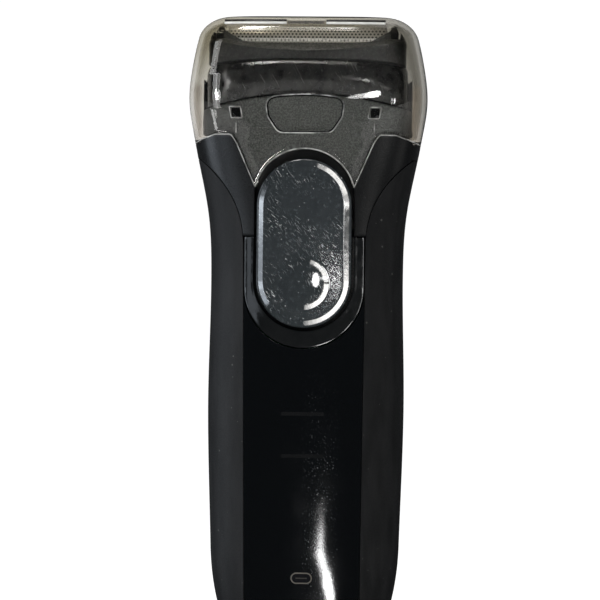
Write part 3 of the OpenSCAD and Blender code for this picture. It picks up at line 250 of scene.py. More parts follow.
def block(low, high):
    bm = bmesh.new()
    bmesh.ops.create_cube(bm, size=1)
    lo, hi = Vector(low), Vector(high)
    for v in bm.verts:
        v.co = Vector([lerp(lo[k], hi[k], v.co[k] + 0.5) for k in range(3)]) * mm
    return bm


def copyOf(node):
    bm = bmesh.new()
    bm.from_mesh(frame["nodes"][node].data)
    bmesh.ops.remove_doubles(bm, verts=bm.verts, dist=2e-6)
    bmesh.ops.dissolve_limit(bm, angle_limit=0.01, verts=bm.verts, edges=bm.edges)
    return bm


def piece(name, bm, body, slot, nodes=(), look=None, wall=0, bevel=0, segments=2):
    mesh = bpy.data.meshes.new(name)
    bm.to_mesh(mesh)
    bm.free()
    for face in mesh.polygons:
        face.use_smooth = True
    obj = bpy.data.objects.new(name, mesh)
    bpy.context.collection.objects.link(obj)
    mesh.materials.append(look or looks[slot])
    if wall:
        mod = obj.modifiers.new("wall", "SOLIDIFY")
        mod.thickness, mod.offset = wall * mm, -1
    if bevel:
        mod = obj.modifiers.new("edge", "BEVEL")
        mod.width, mod.segments, mod.limit_method = bevel * mm, segments, "ANGLE"
        mod.angle_limit = math.radians(35)
        obj.modifiers.new("shade", "WEIGHTED_NORMAL").keep_sharp = True
    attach(obj, body)
    if nodes:
        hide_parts(*nodes)
    return obj


# Materials: a socket whose operators add Math nodes
def maths(operation):
    return lambda self, other=0.0: self.math(operation, self, other)


class Wire:
    def __init__(self, tree, socket):
        self.tree = tree
        self.socket = socket

    def make(self, kind, inputs, out=0, **fields):
        node = self.tree.nodes.new(kind)
        for key, value in fields.items():
            setattr(node, key, value)
        for key, value in inputs.items():
            if isinstance(value, Wire):
                self.tree.links.new(value.socket, node.inputs[key])
            else:
                node.inputs[key].default_value = value
        return Wire(self.tree, node.outputs[out])

    def math(self, operation, a, b=0.0):
        return self.make("ShaderNodeMath", {0: a, 1: b}, operation=operation)

    def __rsub__(self, other):
        return self.math("SUBTRACT", other, self)

    __add__ = __radd__ = maths("ADD")
    __sub__ = maths("SUBTRACT")
    __mul__ = __rmul__ = maths("MULTIPLY")
    __truediv__ = maths("DIVIDE")
    __mod__ = maths("MODULO")
    __gt__ = maths("GREATER_THAN")
    __lt__ = maths("LESS_THAN")
    __abs__ = maths("ABSOLUTE")
    most = maths("MAXIMUM")
    floor = maths("FLOOR")
    part = maths("FRACT")
    root = maths("SQRT")

    def ramp(self, low, high, a=0.0, b=1.0):
        ends = {0: self, 1: low, 2: high, 3: a, 4: b}
        return self.make("ShaderNodeMapRange", ends, interpolation_type="SMOOTHSTEP")

    def tint(self, a, b):
        return self.make("ShaderNodeMix", {0: self, 6: a, 7: b}, out=2, data_type="RGBA")

    def turned(self, turn, size):
        inputs = {0: self, 2: turn, 3: [k * mm for k in size]}
        return self.make("ShaderNodeMapping", inputs, vector_type="TEXTURE")

    def noise(self, scale, detail=2.0, rough=0.5):
        return self.make("ShaderNodeTexNoise", {0: self, 2: scale, 3: detail, 4: rough})

    def cells(self, scale, out=0):
        return self.make("ShaderNodeTexVoronoi", {0: self, 2: scale}, out=out)

    def axis(self, k):
        return self.make("ShaderNodeSeparateXYZ", {0: self}, out=k)

    # A coordinate in millimetres
    def at(self, k):
        return self.axis(k) * (1 / mm)

    def bump(self, strength, distance):
        return self.make("ShaderNodeBump", {"Strength": strength, "Distance": distance, "Height": self})


def rgb(r, g=None, b=None):
    return (r, r if g is None else g, r if b is None else b, 1.0)


def material(name, paint):
    mat = bpy.data.materials.new(name)
    mat.use_nodes = True
    tree = mat.node_tree
    shader = tree.nodes["Principled BSDF"]
    here = Wire(tree, tree.nodes.new("ShaderNodeTexCoord").outputs["Object"])
    for key, value in paint(here).items():
        if isinstance(value, Wire):
            tree.links.new(value.socket, shader.inputs[key])
        else:
            shader.inputs[key].default_value = value
    return mat


def specks(here, scale, size, share):
    near = here.cells(scale)
    pick = here.cells(scale, out=1).axis(0)
    return (near < size) * (pick < share)


def streaks(here, turn, fine, long, level):
    field = here.turned(turn, (fine, long, long)).noise(1.0, 1.0)
    return field.ramp(level, level + 0.06) * here.noise(150, 2).ramp(0.42, 0.6)


scuffsAndGlints = {"x": 4.5, "half": 5.2705, "high": 78, "low": 30}


def glossBlack(here):
    # Fine scuffs with painted glints, in a strip of the panel right of its middle on the line of its
    # highlight streak, thickest low down
    x = here.at(0) - scuffsAndGlints["x"]
    strip = (x * x).ramp(scuffsAndGlints["half"] ** 2, 0.0) * here.at(2).ramp(scuffsAndGlints["high"], scuffsAndGlints["low"])
    fine = here.turned((0, -0.5, 0), (0.13, 0.7, 0.7)).noise(1.0, 1.0).ramp(0.66, 0.74)
    dots = specks(here, 1300, 0.18, 0.3) * 0.6 + specks(here, 800, 0.12, 0.25)
    mark = (dots + fine * 0.5) * strip
    return {
        "Base Color": (mark * 0.2).tint(rgb(0.0014, 0.0018, 0.0022), rgb(0.5, 0.52, 0.54)),
        "Roughness": here.noise(120, 3).ramp(0.4, 0.7, 0.07, 0.1),
        "Normal": here.noise(2600, 3).bump(0.05, 0.0001),
    }


def switchBlack(here):
    # Fine scuffs from hard use, thickest in the middle and on the right
    where = here.turned((0, 0, 0), (9, 9, 12)).noise(1.0, 2).ramp(0.38, 0.62)
    long = streaks(here, (0, -0.5, 0), 0.15, 3.6, 0.70) + streaks(here, (0, -0.62, 0), 0.14, 2.8, 0.71)
    short = streaks(here, (0, -0.9, 0), 0.17, 1.7, 0.70) + streaks(here, (0, -0.25, 0), 0.15, 1.5, 0.71)
    mark = (long + short) * (where * 0.75 + 0.2)
    dot = specks(here, 900, 0.13, 0.3)
    mottle = here.noise(900, 4, 0.65)
    plain = mottle.ramp(0.3, 0.7).tint(rgb(0.0078, 0.0092, 0.0102), rgb(0.0125, 0.0147, 0.0158))
    return {
        "Base Color": (mark * 0.42 + dot * 0.14).tint(plain, rgb(0.55, 0.56, 0.56)),
        "Roughness": mark * 0.2 + mottle.ramp(0.35, 0.7, 0.05, 0.12),
        "Normal": here.noise(1500, 3).bump(0.06, 0.0001),
    }


def bandBlack(here):
    mark = streaks(here, (0, -0.5, 0), 0.3, 4, 0.66)
    grain = here.noise(420, 4, 0.6).ramp(0.35, 0.7)
    plain = grain.tint(rgb(0.012, 0.0122, 0.0118), rgb(0.034, 0.0345, 0.033))
    return {
        "Base Color": (mark * 0.05).tint(plain, rgb(0.6)),
        "Roughness": mark * 0.15 + here.noise(160, 3).ramp(0.35, 0.7, 0.14, 0.26),
        "Normal": here.noise(2000, 3).bump(0.1, 0.0001),
    }


def frameBlack(here):
    # The chamfer above the brow is painted paler than the wall, as painted light from above
    grain = here.noise(1500, 4, 0.65)
    x, z = here.at(0), here.at(2)
    over = z - x * x * (browLine["rise"] / browLine["half"] ** 2)
    wall = over.ramp(browLine["z"] + 0.15, browLine["z"] - 0.15)
    paintedLitChamfer = grain.ramp(0.32, 0.7).tint(rgb(0.032, 0.033, 0.031), rgb(0.11, 0.112, 0.105))
    plain = grain.ramp(0.35, 0.7).tint(rgb(0.010, 0.0105, 0.010), rgb(0.034, 0.035, 0.033))
    return {
        "Base Color": wall.tint(paintedLitChamfer, plain),
        "Roughness": grain.ramp(0.3, 0.7, 0.5, 0.34),
        "Normal": grain.bump(0.1, 0.0002),
    }


def satinBlack(here):
    grain = here.noise(5200, 2)
    cloud = here.noise(60, 3).ramp(0.35, 0.7)
    return {
        "Base Color": cloud.tint(rgb(0.0045, 0.005, 0.0055), rgb(0.008, 0.0085, 0.009)),
        "Roughness": grain.ramp(0.3, 0.7, 0.26, 0.36),
        "Normal": grain.bump(0.06, 0.0002),
    }


neckShade = {"wellOut": 12.884, "wellIn": 12.41, "sideIn": -12.0, "sideOut": -21.0}


def texturedBlack(here):
    # Painted shade in the switch's well, and darker towards the left side
    grain = here.noise(2600, 3)
    x, z = here.at(0), here.at(2) - capLine["arcZ"]
    well = (x * x + z * z).ramp(neckShade["wellOut"] ** 2, neckShade["wellIn"] ** 2)
    shade = well.most(x.ramp(neckShade["sideIn"], neckShade["sideOut"], 0.0, 0.4))
    plain = grain.ramp(0.35, 0.68).tint(rgb(0.036, 0.039, 0.037), rgb(0.115, 0.122, 0.115))
    return {
        "Base Color": shade.tint(plain, rgb(0.006, 0.0065, 0.0065)),
        "Roughness": grain.ramp(0.3, 0.7, 0.55, 0.36),
        "Normal": grain.bump(0.35, 0.0003),
    }


def gripRubber(here):
    grain = here.noise(3600, 3)
    dust = specks(here, 330, 0.09, 0.3) + specks(here, 800, 0.1, 0.12)
    cloud = here.turned((0, 0, 0), (3, 3, 14)).noise(1.0, 4).ramp(0.3, 0.75)
    plain = cloud.tint(rgb(0.008, 0.0085, 0.0092), rgb(0.014, 0.0145, 0.0155))
    return {
        "Base Color": (dust * 0.4).tint(plain, rgb(0.14, 0.14, 0.13)),
        "Roughness": grain.ramp(0.3, 0.7, 0.52, 0.68),
        "Specular IOR Level": 0.35,
        "Normal": grain.bump(0.15, 0.0002),
    }


# Where the cap's tint, and the painted shade on its right side, begin and are full
smoke = {
    "low": (124, 142), "high": (140, 153), "side": (4, 27), "face": (-12.5, -14.5), "roof": (155.3, 154.3),
    "flankIn": (24.8, 26.2), "flankOut": (28.6, 27.8), "flankTop": (141.5, 139.5),
}


def clearCap(here):
    # Smokier towards the roof and its corners and on the inner flanks, darker on the right as painted shade;
    # the face stays clear
    x, y, z = (here.at(k) for k in range(3))
    low, high, side = z.ramp(*smoke["low"]), z.ramp(*smoke["high"]), x.ramp(*smoke["side"])
    face = y.ramp(*smoke["face"]) * z.ramp(*smoke["roof"])
    flank = abs(x).ramp(*smoke["flankIn"]) * abs(x).ramp(*smoke["flankOut"]) * z.ramp(*smoke["flankTop"])
    tone = high.tint(low.tint(rgb(0.95, 0.94, 0.92), rgb(0.63, 0.615, 0.57)), rgb(0.46, 0.435, 0.36))
    tone = (flank * 0.7).tint(side.tint(tone, rgb(0.36, 0.35, 0.32)), rgb(0.40, 0.36, 0.31))
    return {
        "Base Color": face.tint(tone, rgb(0.93, 0.925, 0.91)),
        "Roughness": specks(here, 500, 0.12, 0.2) * 0.2 + 0.02,
        "Transmission Weight": 1.0,
        "IOR": 1.45,
    }


# Pale edges of the clear cap's rim, windows and ribs: a painted highlight
def clearEdgeHighlight(here):
    return {
        "Base Color": here.noise(400, 2).ramp(0.35, 0.65).tint(rgb(0.35, 0.35, 0.33), rgb(0.93, 0.93, 0.90)),
        "Roughness": 0.2,
        "Transmission Weight": 0.5,
        "IOR": 1.45,
    }


padGleam = {"z": 133.5, "lean": 0.35, "from": 0.8, "to": 4.0}


def padEdgeHighlight(here):
    # Painted highlight, bright in places only, most at the lower left and upper right
    wearAndGleam = here.noise(260, 3).ramp(0.36, 0.55)
    off = abs(here.at(2) - padGleam["z"] + here.at(0) * padGleam["lean"])
    lit = off.ramp(padGleam["from"], padGleam["to"], 0.45, 1.0)
    return {
        "Base Color": (wearAndGleam * lit).tint(rgb(0.10, 0.10, 0.10), rgb(0.90, 0.90, 0.88)),
        "Roughness": 0.25,
        "Transmission Weight": 0.4,
        "IOR": 1.45,
    }


foilMesh = {
    "pitch": 0.92, "row": 0.8, "crown": (153.9, 154.3), "top": (154.8, 154.2),
    "foot": (152.25, 152.05), "footLow": (151.2, 151.4),
}


def foilNickel(here):
    # Staggered rows of holes, a pale crown that is partly wear and, on the left, a painted highlight, and a
    # painted highlight along the serrated lower edge
    x, z = here.at(0), here.at(2)
    u, v = x / foilMesh["pitch"], z / foilMesh["row"]
    du = (u + v.floor() % 2.0 * 0.5).part() - 0.5
    dv = v.part() - 0.5
    hole = (du * du * 1.3 + dv * dv).ramp(0.14, 0.08)
    wearAndGleam = here.turned((0, 0, 0), (1.6, 1.6, 0.5)).noise(1.0, 3).ramp(0.4, 0.56)
    # Crown: patchy wear, with a painted highlight on the left
    crown = z.ramp(*foilMesh["crown"]) * (wearAndGleam * 0.28 + x.ramp(-4.0, -9.0, 0.0, 0.6))
    tooth = u.part() - 0.5
    serrated = (tooth * tooth).ramp(0.2, 0.12) * 0.5 + 0.5
    # Lower edge: a painted highlight, serrated
    foot = z.ramp(*foilMesh["foot"]) * z.ramp(*foilMesh["footLow"]) * serrated * (wearAndGleam * 0.4 + 0.6)
    pale = crown.most(foot)
    dark = hole * (1.0 - pale) * z.ramp(*foilMesh["top"], 0.5, 0.97)
    plain = pale.tint(rgb(0.44, 0.42, 0.37), rgb(0.98, 0.97, 0.93))
    return {
        "Base Color": dark.tint(plain, rgb(0.02, 0.018, 0.015)),
        "Metallic": x.ramp(-3.0, -8.0, 0.04, 0.4),
        "Roughness": wearAndGleam * 0.15 + x.ramp(-3.0, -8.0, 0.4, 0.28),
    }


def steel(low, high, grainy):
    def paint(here):
        grain = here.turned((0, 0, 0), (1000 / grainy, 1000 / grainy, 25)).noise(1.0, 2)
        return {
            "Base Color": grain.ramp(0.3, 0.7).tint(rgb(*low), rgb(*high)),
            "Metallic": 1.0,
            "Roughness": grain.ramp(0.3, 0.7, 0.22, 0.36),
        }
    return paint


def plastic(low, high, rough):
    def paint(here):
        grain = here.noise(900, 3)
        return {
            "Base Color": here.noise(150, 3).ramp(0.3, 0.7).tint(rgb(*low), rgb(*high)),
            "Roughness": grain.ramp(0.3, 0.7, rough - 0.06, rough + 0.06),
            "Normal": grain.bump(0.05, 0.0002),
        }
    return paint


lamp = {
    "z": 18.8, "r": 1.5, "run": 1.25, "ring": (1.08, 1.4), "bar": (1.4, 0.16),
    "columns": 40, "rows": 6, "proud": 0.03, "wall": 0.4, "bevel": 0.04,
}


def lampLens(here):
    # A pale outlined pill with a short bar inside
    x, z = here.at(0), here.at(2) - lamp["z"]
    over = (abs(x) - lamp["run"]).most(0.0)
    away = (over * over + z * z).root()
    ring = (away > lamp["ring"][0]) * (away < lamp["ring"][1])
    bar = (abs(x) < lamp["bar"][0]) * (abs(z) < lamp["bar"][1])
    return {
        "Base Color": ring.most(bar * 0.3).tint(rgb(0.008, 0.0085, 0.01), rgb(0.13, 0.12, 0.105)),
        "Roughness": 0.18,
    }


paints = {
    "clear_cap": clearCap,
    "textured_black": texturedBlack,
    "satin_black": satinBlack,
    "grip_rubber": gripRubber,
    "gloss_black": glossBlack,
    "seal_rubber": plastic((0.04, 0.036, 0.033), (0.06, 0.055, 0.05), 0.7),
    "contact_brass": steel((0.66, 0.50, 0.22), (0.78, 0.62, 0.32), 900),
    "lamp_lens": lampLens,
    "bar_ink": plastic((0.007, 0.0075, 0.008), (0.0095, 0.01, 0.0105), 0.13),
    "inner_plastic": plastic((0.09, 0.10, 0.11), (0.11, 0.12, 0.13), 0.5),
    "cell_wrap": plastic((0.08, 0.24, 0.15), (0.12, 0.29, 0.19), 0.3),
    "plated_steel": steel((0.56, 0.56, 0.55), (0.68, 0.68, 0.67), 700),
    "board_green": plastic((0.04, 0.16, 0.07), (0.06, 0.2, 0.09), 0.3),
    "chip_black": plastic((0.025, 0.025, 0.028), (0.035, 0.035, 0.04), 0.45),
    "pale_plastic": plastic((0.68, 0.67, 0.62), (0.76, 0.75, 0.70), 0.45),
    "spring_steel": steel((0.5, 0.5, 0.49), (0.64, 0.64, 0.63), 1200),
    "foil_nickel": foilNickel,
    "blade_steel": steel((0.58, 0.59, 0.60), (0.72, 0.73, 0.74), 1500),
}
looks = {slot: material(slot.replace("_", " "), paint) for slot, paint in paints.items()}
switchLook = material("switch black", switchBlack)
bandLook = material("band black", bandBlack)
frameLook = material("frame black", frameBlack)
bezelLook = material("bezel black", plastic((0.003, 0.0034, 0.0036), (0.005, 0.0054, 0.0056), 0.12))
ridgeHighlightLook = material("ridge highlight", plastic((0.82, 0.82, 0.8), (0.95, 0.95, 0.93), 0.25))
smokeLook = material("smoky slot", plastic((0.06, 0.048, 0.035), (0.10, 0.082, 0.06), 0.3))
edgeHighlightLook = material("clear edge highlight", clearEdgeHighlight)
padLook = material("pad edge highlight", padEdgeHighlight)
combLook = material("comb steel", steel((0.62, 0.61, 0.58), (0.78, 0.77, 0.74), 1600))
slots = {s["node"]: s["material_slot"] for s in frame["record"]["subparts"]}
for name, obj in frame["nodes"].items():
    obj.data.materials.clear()
    obj.data.materials.append(looks[slots[name]])
for name in ("middle_comb", "trimmer_comb"):
    frame["nodes"][name].data.materials[0] = combLook
print("materials made")


# A sheet on the right side of the handle and its mirror on the left
def pair(stem, sheet, slot, part):
    made = []
    for side, bm in (("right", sheet()), ("left", flipped(sheet()))):
        node = stem + "_" + side
        made.append(piece(stem + side.title(), bm, "handle", slot, [node], None, part["wall"], part["bevel"]))
    return made


# Rubber grips
grip = {"columns": 56, "rows": 90, "wall": 2.0, "bevel": 0.3}


def gripSheet():
    gap, low, top = form["gap"], form["skin"], form["gripTop"]
    near = lambda z: turnOf(panelX(z) + gap, z)
    far = lambda z: 180 - turnOf(form["rear"] + gap, z)
    share = lambda z: (turnOf(seamX(z) + gap, z) - near(z)) / (far(z) - near(z))
    half = grip["columns"] // 2
    tops = [lerp(form["swingZ"], top, (i / half) ** 0.8) for i in range(half)]
    shares = [share(z) for z in tops]
    tops += [top] * (half + 1)
    shares += [lerp(share(top), 1, i / half) for i in range(half + 1)]

    def place(i, j):
        t = j / grip["rows"]
        z = lerp(low, tops[i], 0.35 * t * t + 0.65 * t)
        return skin(lerp(near(z), far(z), shares[i]), z)

    return grid(grip["columns"], grip["rows"], place)


gripPieces = pair("grip", gripSheet, "grip_rubber", grip)

# Satin shoulders
shoulder = {"front": 60, "inner": 8, "side": 40, "rows": 24, "wall": 2.0, "bevel": 0.3, "flank": 26.05}


def shoulderSheet():
    gap, edge, inner = form["gap"], form["panel"], shoulder["inner"]
    outer = shoulder["front"] - inner
    stops = [lerp(form["wellR"], edge, i / inner) for i in range(inner)]
    stops += [edge + (shoulder["flank"] - edge) * (i / outer) ** 1.8 for i in range(outer + 1)]
    lows = [max(form["seam"], seamZ(x) if x > edge else 0) + gap for x in stops]
    highs = [capEdge(x) - gap for x in stops]

    def place(i, j):
        t = j / shoulder["rows"]
        if i <= shoulder["front"]:
            z = lerp(lows[i], highs[i], t)
            return skin(turnOf(stops[i], z), z)
        z = lerp(form["gripTop"] + gap, form["cap"] - gap, t)
        s = (i - shoulder["front"]) / shoulder["side"]
        return skin(lerp(turnOf(shoulder["flank"], z), 180 - turnOf(form["rear"] + gap, z), s), z)

    return grid(shoulder["front"] + shoulder["side"], shoulder["rows"], place)


shoulderPieces = pair("shoulder", shoulderSheet, "satin_black", shoulder)
print("grips and shoulders made")

# Glossy front panel
panel = {"columns": 64, "rows": 100, "wall": 1.8, "bevel": 0.2, "edge": 0.08}


def panelPlace(i, j):
    u = math.sin(math.pi * (i / panel["columns"] - 0.5))
    r = form["bezelR"] + form["gap"]
    x = u * (panelX(form["bezelZ"]) - panel["edge"])
    top = form["bezelZ"] - math.sqrt(r * r - x * x) - panel["edge"]
    z = lerp(form["skin"], top, j / panel["rows"])
    return skin(math.copysign(turnOf(abs(u) * panelX(z), z), u), z)


panelPiece = piece("frontPanel", grid(panel["columns"], panel["rows"], panelPlace), "handle", "gloss_black",
                   ["front_panel"], wall=panel["wall"], bevel=panel["bevel"])


# Lamp and bars lie flush in the panel's face
def lampPlace(i, j):
    a, t = 2 * math.pi * i / lamp["columns"], j / lamp["rows"]
    r = lamp["r"] * t
    x = r * math.cos(a) + math.copysign(lamp["run"], math.cos(a)) * t
    z = lamp["z"] + r * math.sin(a)
    return x, -faceY(x, z) - lamp["proud"], z


lampSkin = outward(grid(lamp["columns"], lamp["rows"], lampPlace, closed=True))
piece("chargeLamp", lampSkin, "handle", "lamp_lens", ["charge_light"],
      wall=lamp["wall"], bevel=lamp["bevel"], segments=1)
bars = {"levels": (49, 59.4), "half": 5.3, "rise": 0.45, "proud": 0.004, "columns": 24, "wall": 0.4}


def barSheet(level):
    def place(i, j):
        x = lerp(-bars["half"], bars["half"], i / bars["columns"])
        z = level + bars["rise"] * (j - 1)
        return x, -faceY(x, z) - bars["proud"], z

    return grid(bars["columns"], 2, place)


barSkin = joined(*[barSheet(level) for level in bars["levels"]])
barPiece = piece("levelBars", barSkin, "handle", "bar_ink", ["level_bars"], wall=bars["wall"])
for face in barPiece.data.polygons:
    face.use_smooth = False

# Raised band round the switch
bezel = {"arc": 72, "run": 14, "width": 2.5, "floor": 13.7, "bevel": 0.12}
# Section from the well's floor over the lip to the foot: way out, and lift over the body (None at the floor)
bezelSection = [
    (0, None), (0, -0.25), (0.08, 0.38), (0.2, 0.5), (0.3, 0.48), (0.62, 0.36), (0.78, 0.32), (1.2, 0.25),
    (1.7, 0.17), (2.2, 0.08), (2.4, -0.02), (2.5, -0.5), (1.6, None), (0, None),
]


def bezelPlace(i, j):
    run, arc = bezel["run"], bezel["arc"]
    top = form["seam"] - form["gap"]
    turn = -math.pi * min(1, max(0, (i - run) / arc))
    straight = min(1, i / run, (2 * run + arc - i) / run)
    zIn, zOut = lerp(top, form["switchLow"], straight), lerp(top, form["bezelZ"], straight)
    out, lift = bezelSection[j]
    share = out / bezel["width"]
    r = lerp(form["wellR"], form["bezelR"], share)
    x, z = r * math.cos(turn), lerp(zIn, zOut, share) + r * math.sin(turn)
    return x, -(bezel["floor"] if lift is None else faceY(x, z) + lift), z


bezelColumns = 2 * bezel["run"] + bezel["arc"]
bezelSkin = sealed(grid(bezelColumns, len(bezelSection) - 1, bezelPlace, closed=True))
bezelPiece = piece("switchBezel", bezelSkin, "handle", "satin_black", ["switch_bezel"], bezelLook,
                   bevel=bezel["bevel"])

# Sliding switch with a bevelled edge and a thumb dome
switch = {
    "columns": 200, "rings": 25, "face": 12, "dome": 6.5, "domeZ": 91.3, "steep": 0.345, "bevel": 1.9,
    "keel": ((-1.8, -14.4, 85.1), (1.8, -10.6, 88.1)),
}
switchEdge = [(0.1, 0.012), (0.3, 0.083), (0.6, 0.187), (0.95, 0.308), (1.3, 0.43), (1.58, 0.53),
              (1.74, 0.65), (1.84, 0.83), (1.89, 1.07), (1.9, 1.4), (1.9, 3.6)]


def switchReach(c, s, r):
    straight = r / max(1e-6, abs(c))
    z = switch["domeZ"] + straight * s
    if form["switchLow"] <= z <= form["switchHigh"]:
        return straight
    d = switch["domeZ"] - form["switchHigh" if z > form["switchHigh"] else "switchLow"]
    return -s * d + math.sqrt(s * s * d * d - d * d + r * r)


# The dome is round with a short cone at its foot on the right, and mostly a cone on the left
dome = {
    "top": 0.56, "rightCone": 0.88, "rightBend": 1.76,
    "leftCone": 0.35, "leftBend": 0.97, "leftFoot": 0.679, "leftEnd": -0.4, "blend": 0.5,
}


def domeRise(t, c):
    right = 1 - t if t > dome["rightCone"] else dome["top"] - t * t / dome["rightBend"]
    left = dome["leftFoot"] * (1 - t) if t > dome["leftCone"] else dome["top"] - t * t * dome["leftBend"]
    side = min(1, max(0, (c - dome["leftEnd"]) / dome["blend"]))
    return switch["steep"] * switch["dome"] * lerp(left, right, side * side * (3 - 2 * side))


def switchPlace(i, j):
    a = 2 * math.pi * i / switch["columns"]
    c, s = math.cos(a), math.sin(a)
    domeRows, flatRows = switch["rings"], switch["face"]
    inner = form["switchR"] - switch["bevel"]
    lift = drop = 0
    if j <= domeRows:
        reach = switch["dome"] * j / domeRows
        lift = domeRise(j / domeRows, c)
    elif j <= domeRows + flatRows:
        reach = lerp(switch["dome"], switchReach(c, s, inner), (j - domeRows) / flatRows)
    else:
        out, drop = switchEdge[j - domeRows - flatRows - 1]
        reach = switchReach(c, s, inner + out)
    return reach * c, -(form["face"] - drop + lift), switch["domeZ"] + reach * s


switchRows = switch["rings"] + switch["face"] + len(switchEdge)
switchTop = sealed(grid(switch["columns"], switchRows, switchPlace, closed=True))
switchSkin = joined(switchTop, block(*switch["keel"]))
switchPiece = piece("powerSwitch", switchSkin, "slider", "gloss_black", ["power_slider"], switchLook)
print("panel and switch made")

# Back cover and foot
cover = {"columns": 40, "rows": 90, "wall": 1.8, "bevel": 0.2}


def coverPlace(i, j):
    t = j / cover["rows"]
    z = lerp(form["skin"], form["cap"] - form["gap"], 0.3 * t * t + 0.7 * t)
    side = turnOf(form["rear"], z)
    return skin(lerp(180 - side, 180 + side, i / cover["columns"]), z)


coverSkin = grid(cover["columns"], cover["rows"], coverPlace)
piece("rearCover", coverSkin, "handle", "satin_black", ["rear_cover"],
      wall=cover["wall"], bevel=cover["bevel"])
inlet = {"half": 2.8, "r": 4, "top": 5.2, "columns": 120}
inletRim = [(inlet["r"], inlet["top"]), (inlet["r"], 0.4), (inlet["r"] + 0.15, 0.1), (inlet["r"] + 0.4, 0)]


def pill(turn, r, z):
    a = math.radians(turn - 90)
    c = math.cos(a)
    end = math.copysign(inlet["half"], c) if abs(c) > 1e-9 else 0
    return Vector((end + r * c, r * math.sin(a), z))


# Down the inlet's wall, across the standing face, up the outside and back to the inlet
foot = [lambda a, r=r, z=z: pill(a, r, z) for r, z in inletRim]
foot += [lambda a, s=s: Vector((*(s * skin(a, 0.0)).xy, 0)) for s in (0.75, 0.9, 0.97)]
foot += [lambda a, z=z: skin(a, z) for z in (0.08, 0.3, 0.7, 1.3, 2.0, 2.8, 3.6, 4.4, 5.0)]
foot += [lambda a: skin(a, inlet["top"], 0.25), foot[0]]
piece("foot", rings(inlet["columns"], foot), "handle", "satin_black", ["base_cap"])
print("cover and foot made")

# Neck with openings for the side buttons
neck = {
    "turnFront": 78.1, "turnBack": 104.5, "wall": 1.6, "inset": 2.5, "ledge": 129.7, "bevel": 0.12,
    "columns": 140, "half": 70,
}
neckLevels = [105, 109, 113, 117, 121, 124, 125.7, 126.6, 127.5, neck["ledge"]]
# Upper wall, outside to inside: share of the height, and way in
neckRows = [(0, 0), (0.5, 0), (0.9, 0), (0.97, 0.05), (1, 0.25), (1, neck["wall"] - 0.25),
            (0.97, neck["wall"]), (0, neck["wall"]), (0, 0)]


def neckRing(a, z, inset=0):
    w = halfW(z) - neck["inset"] if z < form["cap"] else form["neckHalf"]
    x, y = outline(a, w - inset, form["neckFront"] - inset, form["neckBack"] - inset, form["neckN"])
    return Vector((x, y, z))


def neckWall(a, t, inset=0):
    p = neckRing(a, neck["ledge"], inset)
    return Vector((p.x, p.y, lerp(neck["ledge"], archZ(p.x), t)))


def neckPart(start, stop):
    place = lambda i, j: neckWall(lerp(start, stop, i / neck["half"]), *neckRows[j])
    return sealed(grid(neck["half"], len(neckRows) - 1, place, closed=True))


neckLow = [lambda a, z=z: neckRing(a, z) for z in neckLevels]
neckLow += [lambda a, z=z: neckRing(a, z, neck["wall"]) for z in reversed(neckLevels)] + [neckLow[0]]
neckFace = neckPart(-neck["turnFront"], neck["turnFront"])
neckRear = neckPart(neck["turnBack"], 360 - neck["turnBack"])
neckSkin = joined(rings(neck["columns"], neckLow), neckFace, neckRear)
piece("neckHousing", neckSkin, "handle", "textured_black", ["neck"], bevel=neck["bevel"])

# Side buttons
button = {"bevel": 0.35, "segments": 3}
for side in ("left", "right"):
    node = "release_" + side
    piece("button" + side.title(), copyOf(node), node, "satin_black", [node], bezelLook, **button)

# Glossy band of the cassette, hollow behind the side buttons
band = {"wall": 1.4, "bulge": 0.55, "tuck": 0.7, "back": 0.3, "gap": 0.4, "bevel": 0.18, "columns": 200}
hollow = {"x": 23.4, "y": 6.4, "z": 142.9}


def bandRing(a, t, inset=0):
    s = -inset if inset else band["bulge"] * math.sin(math.pi * t) - band["tuck"] * t ** 6
    w, r = form["bandHalf"] + min(0, s), form["neckBack"] - band["back"] + min(0, s)
    x, y = outline(a, w, form["neckFront"] + s, r, form["neckN"])
    z = lerp(archZ(x) + band["gap"], crestZ(x), t)
    if abs(y) < hollow["y"] and z < hollow["z"]:
        x = math.copysign(min(abs(x), hollow["x"] - inset / 2), x)
    return Vector((x, y, z))


bandLevels = (0, 0.04, 0.1, 0.2, 0.35, 0.5, 0.65, 0.78, 0.88, 0.94, 0.98, 1)
bandLoops = [lambda a, t=t: bandRing(a, t) for t in bandLevels]
bandLoops += [lambda a, t=t: bandRing(a, t, band["wall"]) for t in (1, 0.5, 0)] + [bandLoops[0]]
bandSkin = rings(band["columns"], bandLoops)
bandPiece = piece("cassetteBand", bandSkin, "cassette", "gloss_black", ["cassette_band"], bandLook,
                  bevel=band["bevel"], segments=3)

# Cassette frame with a bevelled brow; its lip dips along the front, where the foil shows
# A ring is given as half width, front, back and squareness
cassette = {
    "skirt": (23.6, 12.2, 10.6, 4), "shelf": (24.35, 12.35, 11.45, 8), "wall": (24.5, 12.5, 11.6, 8),
    "lip": (24.2, 11.0, 10.8, 8), "lipIn": (24.05, 10.85, 10.7, 8), "mouth": (23.0, 9.8, 9.8, 24),
    "hollow": (22.95, 9.75, 9.75, 24), "foot": 139.2, "dipY": -5, "dipEnd": 19.5, "dipFlat": 16,
    "bevel": 0.12, "columns": 360,
}


def frameRing(a, size, z):
    x, y = outline(a, *size)
    return Vector((x, y, z(x) if callable(z) else z))


def stepRing(a, size, rise):
    return frameRing(a, size, crestZ(outline(a, *cassette["skirt"])[0]) + rise)


def lipRing(a, size, rise):
    x, y = outline(a, *size)
    flat, end = cassette["dipFlat"], cassette["dipEnd"]
    dip = 0 if y > cassette["dipY"] or abs(x) > end else 1 - max(0, (abs(x) - flat) / (end - flat))
    return Vector((x, y, form["frameTop"] + rise - dip))


